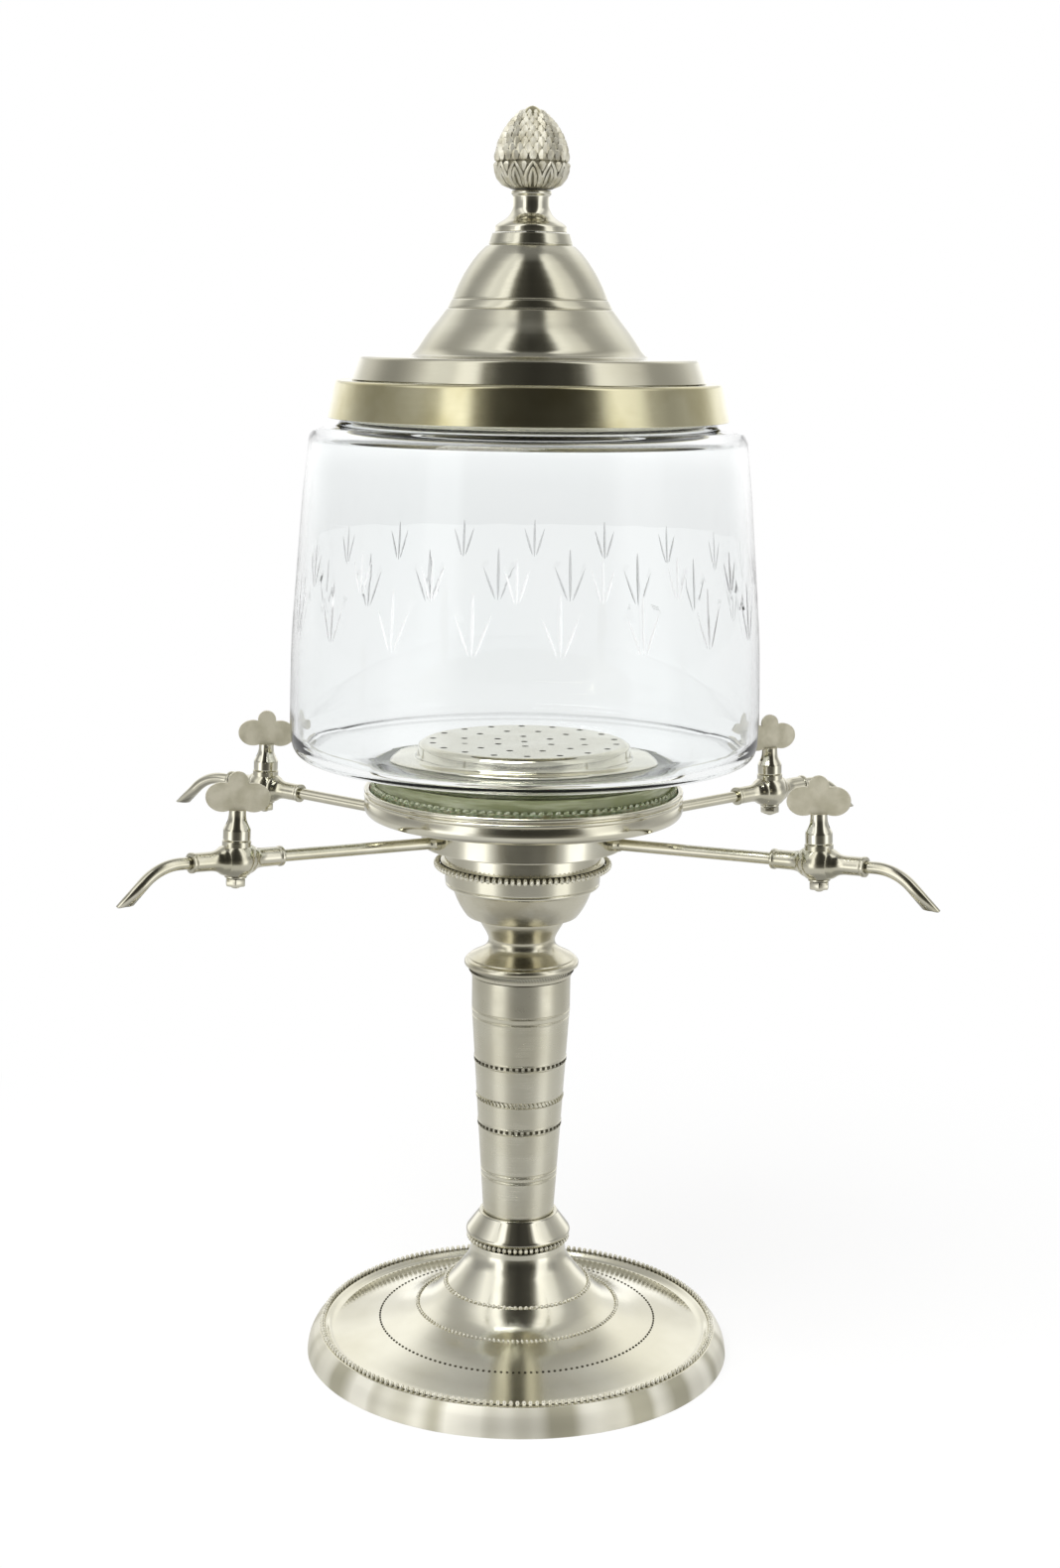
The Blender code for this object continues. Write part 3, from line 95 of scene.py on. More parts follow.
def trace(points):
    # one vertex, extruded from point to point; it stays in edit mode
    deselectAll()
    bpy.ops.mesh.primitive_plane_add(size=mm, location=points[0])
    bpy.ops.object.mode_set(mode="EDIT")
    bpy.ops.mesh.merge(type="CENTER")
    for here, there in zip(points, points[1:]):
        bpy.ops.mesh.extrude_vertices_move(TRANSFORM_OT_translate={"value": there - here})
    bpy.ops.mesh.select_all(action="SELECT")
    return bpy.context.object


def closeShape(piece, name, sharpAngle=38):
    bpy.ops.mesh.select_all(action="SELECT")
    bpy.ops.mesh.remove_doubles(threshold=weld)
    bpy.ops.mesh.normals_make_consistent(inside=False)
    bpy.ops.object.mode_set(mode="OBJECT")
    applyPlace()
    bpy.ops.object.shade_smooth_by_angle(angle=math.radians(sharpAngle))
    piece.name = name
    piece.data.name = name
    return piece


def lathe(name, outline, turns=128):
    # a profile swept round Z; one that doesn't end on the axis is closed on itself
    line = softLine(outline)
    if outline[0][0] or outline[-1][0]:
        line.append(line[0])
    piece = trace([Vector((across * mm, 0, up * mm)) for across, up in line])
    bpy.ops.mesh.spin(steps=turns, angle=math.tau, center=(0, 0, 0), axis=(0, 0, 1))
    return closeShape(piece, name)


def ringOf(name, row):
    # one small bead or block, then turned copies of it all the way round
    deselectAll()
    place = {"location": (row["radius"] * mm, 0, row["height"] * mm),
             "rotation": [math.radians(angle) for angle in row.get("lean", (0, 0, 0))],
             "scale": [side * mm for side in row["size"]]}
    if row.get("block"):
        bpy.ops.mesh.primitive_cube_add(size=1, **place)
    else:
        bpy.ops.mesh.primitive_uv_sphere_add(segments=row.get("sides", 8), ring_count=row.get("rings", 6),
                                             radius=0.5, **place)
    piece = bpy.context.object
    applyPlace()
    bpy.ops.object.mode_set(mode="EDIT")
    bpy.ops.mesh.select_all(action="SELECT")
    if row.get("block"):
        bpy.ops.mesh.bevel(offset=row["block"] * mm, segments=1, affect="EDGES")
    if row.get("turn"):
        turnAll((0, 0, 0), math.radians(row["turn"]), "Z")
    bpy.ops.mesh.select_all(action="SELECT")
    copiesRound(row["count"])
    return closeShape(piece, name, row.get("sharp", 50))


def turnAll(centre, angle, axis):
    # with no window the turn goes the other way, so the angle is given with its sign changed
    bpy.ops.transform.rotate(value=-angle, orient_axis=axis, orient_type="GLOBAL", center_override=centre)


def joined(name, pieces):
    deselectAll()
    for piece in pieces:
        piece.select_set(True)
    bpy.context.view_layer.objects.active = pieces[0]
    bpy.ops.object.join()
    whole = bpy.context.object
    whole.name = name
    whole.data.name = name
    return whole


def cutAway(piece, cutter):
    makeActive(piece)
    modifier = piece.modifiers.new("cut", "BOOLEAN")
    modifier.object = cutter
    modifier.operation = "DIFFERENCE"
    modifier.solver = "EXACT"
    modifier.material_mode = "TRANSFER"
    bpy.ops.object.modifier_apply(modifier="cut")
    bpy.data.objects.remove(cutter)


def copyTo(master, name, matrix):
    piece = master.copy()
    piece.data = master.data.copy()
    piece.data.transform(matrix)
    piece.name = name
    piece.data.name = name
    scene.collection.objects.link(piece)
    return piece


def paintGrooveShade(piece, low, high, within, beyond):
    # painted shade: the floor of a beaded groove gets the dark shadow nickel, where shade falls between the
    # beads; levels and radii in mm
    piece.data.materials.append(shadow)
    for face in piece.data.polygons:
        if low * mm < face.center.z < high * mm and beyond * mm < face.center.xy.length < within * mm:
            face.material_index = len(piece.data.materials) - 1


def dress(piece, body, material, slotName, *nodes):
    if not piece.data.materials:
        piece.data.materials.append(material)
    else:
        piece.data.materials[0] = material
    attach(piece, body)
    if nodes:
        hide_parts(*nodes)
    return piece


# Materials

def hexToLinear(code):
    # sRGB hex to the linear values that the sockets take
    parts = [int(code[at:at + 2], 16) / 255 for at in (1, 3, 5)]
    return [part / 12.92 if part <= 0.04045 else ((part + 0.055) / 1.055) ** 2.4 for part in parts] + [1]


def addNode(tree, kind, inputs, **settings):
    node = tree.nodes.new(kind)
    for setting, value in settings.items():
        setattr(node, setting, value)
    for socket, value in inputs.items():
        if isinstance(value, bpy.types.NodeSocket):
            tree.links.new(value, node.inputs[socket])
        else:
            node.inputs[socket].default_value = value
    return node


def startMaterial(name, metallic, roughness):
    material = bpy.data.materials.new(name)
    material.use_nodes = True
    shader = material.node_tree.nodes["Principled BSDF"]
    shader.inputs["Metallic"].default_value = metallic
    shader.inputs["Roughness"].default_value = roughness
    return material, material.node_tree, shader


def twoTones(tree, vector, size, low, high, first, second, detail=3):
    # two colours that drift into each other over about size mm
    noise = addNode(tree, "ShaderNodeTexNoise", {"Vector": vector, "Scale": 1000 / size, "Detail": detail})
    share = addNode(tree, "ShaderNodeMapRange",
                    {"Value": noise.outputs["Fac"], "From Min": low, "From Max": high})
    return addNode(tree, "ShaderNodeMix",
                   {"Factor": share.outputs["Result"], "A": hexToLinear(first), "B": hexToLinear(second)},
                   data_type="RGBA")


def nickel(name, look):
    # nickel plate on brass: warm grey metal, with the lathe's fine turning lines or the grain of a mop
    material, tree, shader = startMaterial(name, look.get("metallic", 1), look["roughness"])
    place = addNode(tree, "ShaderNodeTexCoord", {}).outputs["Object"]
    tone = twoTones(tree, place, look["patch"], 0.38, 0.64, look["colour"], look["tarnish"])
    flat = addNode(tree, "ShaderNodeVectorMath", {0: place, 1: (1, 1, 0)}, operation="MULTIPLY")
    radius = addNode(tree, "ShaderNodeVectorMath", {0: flat.outputs["Vector"]}, operation="LENGTH")
    parts = addNode(tree, "ShaderNodeSeparateXYZ", {0: place})
    if look["turned"]:
        # turning lines are about 0.2 mm apart; they are drawn 0.7 to 1 mm apart, or they wouldn't show
        lines = addNode(tree, "ShaderNodeCombineXYZ",
                        {"X": radius.outputs["Value"], "Y": parts.outputs["Z"]}).outputs["Vector"]
    else:
        lines = place
    grain = addNode(tree, "ShaderNodeTexNoise",
                    {"Vector": lines, "Scale": 1000 / look["grain"], "Detail": 2})
    smudge = addNode(tree, "ShaderNodeTexNoise",
                     {"Vector": place, "Scale": 1000 / look["smudge"], "Detail": 4})
    both = addNode(tree, "ShaderNodeMath", {0: grain.outputs["Fac"], 1: smudge.outputs["Fac"]},
                   operation="ADD")
    rough = addNode(tree, "ShaderNodeMapRange",
                    {"Value": both.outputs["Value"], "From Min": 0.7, "From Max": 1.3,
                     "To Min": look["roughness"] * 0.8, "To Max": look["roughness"] * 1.25})
    bump = addNode(tree, "ShaderNodeBump",
                   {"Height": grain.outputs["Fac"], "Distance": look["depth"] * mm, "Strength": 0.5})
    tree.links.new(tone.outputs["Result"], shader.inputs["Base Color"])
    tree.links.new(rough.outputs["Result"], shader.inputs["Roughness"])
    tree.links.new(bump.outputs["Normal"], shader.inputs["Normal"])
    if look["turned"]:
        # turning lines spread a highlight along the profile, across the lines
        shader.inputs["Anisotropic"].default_value = look["stretch"]
        shader.inputs["Anisotropic Rotation"].default_value = 0.25
        tangent = addNode(tree, "ShaderNodeTangent", {}, direction_type="RADIAL", axis="Z")
        tree.links.new(tangent.outputs["Tangent"], shader.inputs["Tangent"])
    return material


nickelLooks = {
    "satinNickel": {"colour": "#E5E2D1", "tarnish": "#DAD6C2", "roughness": 0.15, "patch": 38, "grain": 0.7,
                    "smudge": 9, "depth": 0.003, "turned": True, "stretch": 0.35},
    # painted shade: a darker copy of the satin nickel, for the lid to read darker than the foot
    "lidNickelPaintedShade": {"colour": "#CFCCBA", "tarnish": "#C5C1AD", "roughness": 0.15, "patch": 38, "grain": 0.7,
                  "smudge": 9, "depth": 0.003, "turned": True, "stretch": 0.35},
    "beadNickel": {"colour": "#F6F3E4", "tarnish": "#DEDAC6", "roughness": 0.26, "patch": 4, "grain": 0.8,
                   "smudge": 3, "depth": 0.003, "turned": False, "metallic": 0.72},
    "mirrorNickel": {"colour": "#E2DFCF", "tarnish": "#D7D3C0", "roughness": 0.07, "patch": 22,
                     "grain": 1.0, "smudge": 6, "depth": 0.002, "turned": True, "stretch": 0.2},
    "softSatinNickel": {"colour": "#DAD6C3", "tarnish": "#C9C3AB", "roughness": 0.22, "patch": 14,
                        "grain": 0.7, "smudge": 6, "depth": 0.003, "turned": True, "stretch": 0.35},
    "columnNickel": {"colour": "#DFDCCB", "tarnish": "#D4D0BC", "roughness": 0.3, "patch": 30, "grain": 0.7,
                     "smudge": 8, "depth": 0.004, "turned": True, "stretch": 0.4},
    "tapNickel": {"colour": "#DAD6C4", "tarnish": "#CDC9B3", "roughness": 0.16, "patch": 12, "grain": 1.2,
                  "smudge": 4, "depth": 0.003, "turned": False},
    # painted light: a paler, less metallic copy of the nickel, so the scale ridges stay bright where they
    # face the dark
    "castNickelPaintedLight": {"colour": "#F2EFE0", "tarnish": "#D2CDB8", "roughness": 0.34, "patch": 5, "grain": 0.8,
                   "smudge": 3, "depth": 0.02, "turned": False, "metallic": 0.7},
    # painted shade: a darker copy of the nickel for the pinecone's core, so the gaps between its scales read
    # dark
    "scaleGapShadeNickel": {"colour": "#A8A38F", "tarnish": "#6B6756", "roughness": 0.42, "patch": 4, "grain": 0.8,
                     "smudge": 3, "depth": 0.01, "turned": False, "metallic": 0.8},
    "blastedNickel": {"colour": "#D8D3BF", "tarnish": "#C2BDA6", "roughness": 0.5, "patch": 7, "grain": 0.6,
                      "smudge": 3, "depth": 0.015, "turned": False, "metallic": 0.6},
    "goldenNickel": {"colour": "#D6D0AE", "tarnish": "#C4BC94", "roughness": 0.16, "patch": 26,
                     "grain": 0.7, "smudge": 8, "depth": 0.004, "turned": True, "stretch": 0.35},
    # painted shade: the dark of punched dots, cut strokes and groove floors
    "shadowNickel": {"colour": "#6E6A58", "tarnish": "#3F3B30", "roughness": 0.5, "patch": 5, "grain": 0.8,
                     "smudge": 3, "depth": 0.01, "turned": False},
}
nickels = {name: nickel(name, look) for name, look in nickelLooks.items()}


def brushedNickelPaintedReflections():
    # the foot's sloping edge, brushed by hand, with fine scratches in its bump; the soft light and dark
    # bands, 10 to 30 mm wide, that run down it are painted reflections
    material, tree, shader = startMaterial("brushedNickelPaintedReflections", 0.6, 0.4)
    place = addNode(tree, "ShaderNodeTexCoord", {}).outputs["Object"]
    flat = addNode(tree, "ShaderNodeVectorMath", {0: place, 1: (1, 1, 0)}, operation="MULTIPLY")
    outward = addNode(tree, "ShaderNodeVectorMath", {0: flat.outputs["Vector"]}, operation="NORMALIZE")
    paintedReflectionBands = 4.5  # patches of noise to one radius of the foot
    tone = twoTones(tree, outward.outputs["Vector"], 1000 / paintedReflectionBands, 0.42, 0.6, "#F4F1E3", "#B4B09B", 1)
    scratch = addNode(tree, "ShaderNodeTexNoise", {"Vector": place, "Scale": 1000 / 0.8, "Detail": 3})
    bump = addNode(tree, "ShaderNodeBump",
                   {"Height": scratch.outputs["Fac"], "Distance": 0.008 * mm, "Strength": 0.5})
    tree.links.new(tone.outputs["Result"], shader.inputs["Base Color"])
    tree.links.new(bump.outputs["Normal"], shader.inputs["Normal"])
    return material


def grained(name, look):
    # two tones that drift into each other, over a fine grain where the look gives one
    material, tree, shader = startMaterial(name, look.get("metallic", 0), look["roughness"])
    place = addNode(tree, "ShaderNodeTexCoord", {}).outputs["Object"]
    if look.get("level"):
        place = addNode(tree, "ShaderNodeVectorMath", {0: place, 1: (0.12, 0.12, 1)},
                        operation="MULTIPLY").outputs["Vector"]
    low, high = look.get("share", (0.35, 0.65))
    tint = twoTones(tree, place, look["patch"], low, high, look["colour"], look["second"],
                    look.get("detail", 3))
    tree.links.new(tint.outputs["Result"], shader.inputs["Base Color"])
    if look.get("grain"):
        grain = addNode(tree, "ShaderNodeTexNoise", {"Vector": place, "Scale": 1000 / look["grain"],
                                                     "Detail": look.get("grainDetail", 3)})
        bump = addNode(tree, "ShaderNodeBump",
                       {"Height": grain.outputs["Fac"], "Distance": look["depth"] * mm,
                        "Strength": look.get("strength", 0.6)})
        tree.links.new(bump.outputs["Normal"], shader.inputs["Normal"])
    for socket, value in look.get("sockets", {}).items():
        shader.inputs[socket].default_value = value
    return material


grainedLooks = {
    # soda-lime glass: clear, with the slightest cool tint through its 3 mm wall; blown glass is never quite
    # even, so waves 25 mm apart bend what is seen through it; IOR a little under glass, for soft pale edges
    "sodaGlass": {"colour": "#FAFBFB", "second": "#F8FAFA", "roughness": 0, "patch": 90, "share": (0.3, 0.7),
                  "detail": 1, "grain": 25, "grainDetail": 1, "depth": 0.15, "strength": 0.4,
                  "sockets": {"Transmission Weight": 1, "IOR": 1.42}},
    # the same glass where the wheel has ground it: frosted, whiter than the wall
    "wheelCutGlass": {"colour": "#FFFFFF", "second": "#F4F6F7", "roughness": 0.34, "patch": 0.9,
                      "share": (0.3, 0.7), "grain": 0.8, "grainDetail": 2, "depth": 0.05, "strength": 0.5,
                      "sockets": {"Transmission Weight": 0.6, "IOR": 1.42}},
    # the jar's foot, ground where it sits in the putty: the glass takes on the olive green behind it, with
    # paler level streaks
    "groundFootGlass": {"colour": "#9AA176", "second": "#CDD2AF", "roughness": 0.18, "patch": 2.4,
                        "share": (0.42, 0.68), "level": True, "grain": 1.8, "grainDetail": 2, "depth": 0.25,
                        "strength": 0.5, "sockets": {"Transmission Weight": 0.15, "IOR": 1.5}},
    # aged sealing compound, grey-green and slightly see-through, drier and paler in crumbs
    "sealingPutty": {"colour": "#8C946C", "second": "#C4CAA6", "roughness": 0.55, "patch": 2.2,
                     "share": (0.42, 0.62), "grain": 1.6, "grainDetail": 4, "depth": 0.4, "strength": 0.7,
                     "sockets": {"Subsurface Weight": 0.2, "Subsurface Scale": 0.002}},
    # crumbs squeezed out of the joint: the same compound, dried out pale
    "dryPutty": {"colour": "#B4BC94", "second": "#F0F3DA", "roughness": 0.6, "patch": 1.6,
                 "share": (0.42, 0.58)},
    # parts that stay out of sight
    "woolFelt": {"colour": "#1F3A26", "second": "#2A4A32", "roughness": 0.95, "patch": 3, "grain": 0.9,
                 "depth": 0.2, "sockets": {"Sheen Weight": 0.4}},
    "castIron": {"colour": "#2B2B2A", "second": "#383532", "metallic": 0.5, "roughness": 0.7, "patch": 9,
                 "grain": 1.5, "depth": 0.1},
    "blackRubber": {"colour": "#1C1C1B", "second": "#262625", "roughness": 0.6, "patch": 6, "grain": 1.0,
                    "depth": 0.02},
    "turnedSteel": {"colour": "#A3A29F", "second": "#8F8D88", "metallic": 1, "roughness": 0.3, "patch": 6,
                    "grain": 0.8, "depth": 0.01},
}
grains = {name: grained(name, look) for name, look in grainedLooks.items()}
glass, groundGlass, oliveGlass = grains["sodaGlass"], grains["wheelCutGlass"], grains["groundFootGlass"]
putty, crumbled, brushedPaintedReflections = grains["sealingPutty"], grains["dryPutty"], brushedNickelPaintedReflections()
satin, mirror, columnFinish = nickels["satinNickel"], nickels["mirrorNickel"], nickels["columnNickel"]
blasted, tapFinish, litCastFinish = nickels["blastedNickel"], nickels["tapNickel"], nickels["castNickelPaintedLight"]
golden, shadow, softSatin = nickels["goldenNickel"], nickels["shadowNickel"], nickels["softSatinNickel"]
shadedLidFinish, beadFinish, scaleGapShade = nickels["lidNickelPaintedShade"], nickels["beadNickel"], nickels["scaleGapShadeNickel"]
print("materials:", len(bpy.data.materials))


# Foot

foot = {
    "shell": [
        (4.5, 52.0, 0), (21.4, 52.0, 0.35), (21.4, 48.8, 0.5), (21.9, 46.2, smooth), (23.2, 43.2, smooth),
        (25.5, 40.0, smooth), (28.6, 35.9, smooth), (32.4, 31.6, 0.3), (33.2, 31.3, 0.2),
        (37.2, 27.1, smooth), (41.4, 23.7, smooth), (45.0, 21.6, 0.3), (46.1, 21.2, 0.2),
        (50.6, 18.8, smooth), (56.4, 16.5, smooth), (62.0, 15.0, 0.2), (63.1, 14.7, 0.2),
        (69.0, 13.2, smooth), (76.0, 11.3, smooth), (81.5, 10.0, smooth), (84.6, 9.6, 1.6),
        (87.1, 11.9, 0.4), (89.0, 11.9, 0), (89.9, 11.9, 0.4), (92.1, 9.8, smooth), (93.8, 7.3, smooth),
        (94.9, 4.5, smooth), (95.4, 2.2, smooth), (95.6, 0.1, 0.1), (93.7, 0.1, 0), (92.9, 3.2, 0),
        (90.9, 7.6, 0), (88.8, 10.1, 0), (87.5, 10.1, 0), (84.6, 7.7, 0), (62.0, 13.0, 0), (45.0, 19.4, 0),
        (31.6, 29.3, 0), (23.6, 39.0, 0), (20.0, 46.0, 0), (19.5, 50.2, 0), (4.5, 50.2, 0)],
    "brushedPaintedReflectionsFrom": 90.2,
    "rimBeads": {"radius": 88.6, "height": 12.7, "size": (2.5, 2.0, 2.8), "count": 201},
    "outerDots": {"radius": 62.6, "height": 14.95, "size": (0.8, 1.05, 0.4), "count": 151,
                  "lean": (0, 14, 0), "block": 0.1},
    "millingRidges": {"radius": 45.55, "height": 21.6, "size": (2.0, 1.1, 1.5), "count": 138,
                      "lean": (0, 30, 30), "sides": 6, "rings": 4},
    "innerBeads": {"radius": 32.8, "height": 31.6, "size": (1.9, 1.7, 1.9), "count": 85},
    "grooveShade": (11.0, 12.2, 88.9, 87.3),  # low, high, within, beyond; the point at 89.0 parts it from the lip
}
footShell = lathe("footShell", foot["shell"], 176)
footShell.data.materials.append(satin)
footShell.data.materials.append(brushedPaintedReflections)
# the brushed edge carries the painted reflection bands
for face in footShell.data.polygons:
    if face.center.xy.length > foot["brushedPaintedReflectionsFrom"] * mm:
        face.material_index = 1
# painted shade on the groove's floor under the rim beads
paintGrooveShade(footShell, *foot["grooveShade"])
dress(footShell, "stand", satin, "satin_nickel", "base_shell")
dress(ringOf("footRimBeads", foot["rimBeads"]), "stand", beadFinish, "satin_nickel", "base_rim_beading")
dress(ringOf("footOuterDots", foot["outerDots"]), "stand", shadow, "satin_nickel")
dress(ringOf("footMillingRidges", foot["millingRidges"]), "stand", beadFinish, "satin_nickel")
dress(ringOf("footInnerBeads", foot["innerBeads"]), "stand", beadFinish, "satin_nickel")
print("foot")


# Knop, column and rope collar

knop = {
    "turning": [
        (4.5, 64.9, 0), (16.3, 64.9, 0), (16.3, 65.9, 0.1), (17.5, 65.9, 0.25), (17.75, 65.2, 0.2),
        (22.6, 58.6, 0.45), (23.45, 57.4, smooth), (23.6, 56.3, smooth), (22.9, 55.3, 0.3),
        (20.6, 55.3, 0.1), (20.6, 52.4, 0.2), (4.5, 52.4, 0)],
    "beads": {"radius": 22.1, "height": 53.9, "size": (2.5, 1.9, 2.6), "count": 57},
    "grooveShade": (52.5, 55.4, 22.7, 20.0),
}
knopTurning = lathe("knopTurning", knop["turning"])
knopTurning.data.materials.append(mirror)
# painted shade on the groove's floor under the knop's beads
paintGrooveShade(knopTurning, *knop["grooveShade"])
dress(knopTurning, "stand", mirror, "polished_nickel", "knop")
dress(ringOf("knopBeads", knop["beads"]), "stand", beadFinish, "polished_nickel", "knop_bead_ring")

column = {"foot": 65.2, "footRadius": 15.9, "taperTop": 161.5, "topRadius": 21.9, "top": 176.2, "wall": 1.8,
          "doubleLines": (161.2, 158.3, 86.6, 83.8), "dotRows": (137.8, 107.8), "ropeRow": 120.6,
          "dotPitch": 2.74, "strokes": 60}


def columnRadius(up):
    share = min((up - column["foot"]) / (column["taperTop"] - column["foot"]), 1)
    return column["footRadius"] + share * (column["topRadius"] - column["footRadius"])


def columnProfile():
    # from the top down: plain taper, double grooves, and the two dotted rows and the rope row between
    marks = []
    for up in column["doubleLines"]:
        marks.append((up, [(0.45, 0, 0.1), (0.2, -0.3, 0.1), (-0.2, -0.3, 0.1), (-0.5, 0.18, 0.2),
                           (-0.9, 0, 0.2)]))
    for up in column["dotRows"]:
        marks.append((up, [(1.5, 0, 0.1), (1.25, 0.3, 0.15), (0.85, 0.3, 0.15), (0.7, -0.05, 0.1),
                           (-0.7, -0.05, 0.1), (-0.85, 0.35, 0.15), (-1.3, 0.3, 0.2), (-1.6, 0, 0.1)]))
    marks.append((column["ropeRow"],
                  [(1.3, 0, 0.1), (1.0, -0.25, 0.1), (-0.9, -0.25, 0.1), (-1.1, 0.2, 0.1), (-1.5, 0, 0.1)]))
    outline = [(column["topRadius"] - column["wall"], column["top"], 0),
               (column["topRadius"], column["top"], 0.2)]
    for up, steps in sorted(marks, reverse=True):
        outline += [(columnRadius(up + rise) + proud, up + rise, soft) for rise, proud, soft in steps]
    inner = column["footRadius"] - column["wall"]
    return outline + [(column["footRadius"], column["foot"], 0.2), (inner, column["foot"], 0)]


dress(lathe("columnTurning", columnProfile(), 96), "stand", columnFinish, "satin_nickel", "column")
for order, up in enumerate(column["dotRows"]):
    dots = {"radius": columnRadius(up) + 0.05, "height": up + 0.05, "size": (0.5, 1.35, 1.15),
            "block": 0.08, "count": round(math.tau * columnRadius(up) / column["dotPitch"])}
    dress(ringOf(("columnUpperDots", "columnLowerDots")[order], dots), "stand", shadow, "satin_nickel")
strokes = {"radius": columnRadius(column["ropeRow"]) - 0.1, "height": column["ropeRow"] + 0.05,
           "size": (1.1, 0.95, 3.1), "count": column["strokes"], "lean": (38, 0, 0), "sides": 6, "rings": 4}
dress(ringOf("columnRope", strokes), "stand", columnFinish, "satin_nickel")

ropeCollar = {
    "turning": [(4.5, 180.7, 0), (24.3, 180.7, 0.15), (24.2, 180.4, 0.1), (23.6, 180.2, 0.1),
                (23.0, 178.2, 0.1), (22.6, 178.0, 0.1), (22.4, 176.6, 0.15), (4.5, 176.6, 0)],
    "strokes": {"radius": 23.3, "height": 179.2, "size": (0.4, 0.4, 2.0), "count": 112, "lean": (38, 14, 0),
                "block": 0.08},
}
dress(lathe("ropeCollarTurning", ropeCollar["turning"], 96), "stand", columnFinish, "satin_nickel",
      "rope_collar")
dress(ringOf("ropeCollarStrokes", ropeCollar["strokes"]), "stand", shadow, "satin_nickel")
print("column")


# Capital, bowl, water chamber and gallery

spindle = {
    "capital": [
        (4.5, 203.4, 0), (19.5, 203.4, 0.15), (19.2, 201.7, smooth), (17.7, 198.9, smooth),
        (15.8, 195.9, smooth), (14.6, 192.8, smooth), (15.0, 190.4, smooth), (16.8, 188.3, smooth),
        (19.8, 186.5, smooth), (23.5, 184.7, 0.3), (23.4, 184.2, 0.1), (24.7, 183.7, 0.4),
        (25.4, 182.6, 0.4), (25.3, 181.1, 0.3), (4.5, 181.1, 0)],
    "bowl": [
        (4.5, 216.6, 0), (31.1, 216.6, 0.15), (30.9, 216.0, 0.1), (30.2, 213.9, smooth),
        (29.1, 211.1, smooth), (27.9, 208.6, smooth), (26.2, 205.8, smooth), (24.7, 203.8, 0.4),
        (4.5, 203.8, 0)],
    "drum": [
        (8.3, 250.2, 0), (44.8, 250.2, 0.3), (44.8, 236.0, 0.35), (34.7, 236.0, 0.2), (34.7, 228.5, 0.1),
        (36.3, 228.5, 0.2), (36.3, 225.4, 0.2), (34.5, 225.4, 0.2), (34.2, 219.2, 0.15), (33.8, 218.9, 0.1),
        (34.1, 218.5, 0.2), (34.0, 217.6, 0.35), (33.2, 217.0, 0.2), (0, 217.0, 0)],
    "chamber": [(0, 220.4, 0), (30.5, 220.4, 0), (30.5, 246.7, 0), (8.3, 246.7, 0)],
    "drumBeads": {"radius": 37.9, "height": 226.8, "size": (2.9, 2.0, 3.2), "count": 88},
    "grooveShade": (225.3, 228.3, 36.6, 36.0),
    "gallery": [
        (8.3, 253.5, 0), (67.6, 253.5, 0.3), (67.6, 260.9, 0.2), (68.3, 261.2, 0.2), (69.6, 261.1, 0.4),
        (70.0, 260.2, 0.4), (69.7, 259.4, 0.2), (69.0, 259.1, 0.1), (69.0, 258.7, 0.1), (69.9, 258.2, 0.4),
        (69.9, 257.2, 0.4), (69.2, 256.7, 0.2), (69.5, 256.0, 0.5), (69.9, 254.4, smooth),
        (70.0, 252.9, smooth), (69.6, 251.2, smooth), (68.7, 250.0, 0.5), (67.0, 249.5, 0.3),
        (64.5, 249.5, 0.3), (63.5, 250.6, 0.3), (8.3, 250.6, 0)],
}
dress(lathe("capitalTurning", spindle["capital"], 96), "stand", softSatin, "polished_nickel", "capital")
dress(lathe("bowlTurning", spindle["bowl"], 96), "stand", softSatin, "satin_nickel", "bowl")
drumTurning = lathe("drumTurning", spindle["drum"] + spindle["chamber"])
drumTurning.data.materials.append(satin)
# painted shade: a narrow dark band on the flange's wall behind the drum's beads
paintGrooveShade(drumTurning, *spindle["grooveShade"])
dress(drumTurning, "stand", satin, "satin_nickel", "drum")
dress(ringOf("drumBeads", spindle["drumBeads"]), "stand", beadFinish, "satin_nickel", "drum_bead_ring")
dress(lathe("galleryTurning", spindle["gallery"], 160), "stand", satin, "satin_nickel", "gallery_dish")
print("spindle")


# Jar, its seal and the strainer

seal = {
    "ring": [(56.0, 256.9, 0), (65.3, 256.9, 0.2), (65.3, 262.1, 0.5), (67.2, 262.2, 0.6), (67.2, 253.9, 0),
             (56.0, 253.9, 0)],
    "crumbs": {"radius": 66.1, "height": 262.4, "size": (1.6, 2.9, 1.9), "count": 118, "lean": (14, 0, 20),
               "sides": 6, "rings": 5},
}
dress(lathe("sealRing", seal["ring"], 160), "stand", putty, "green_seal", "jar_seal")
dress(ringOf("sealCrumbs", seal["crumbs"]), "stand", crumbled, "green_seal")

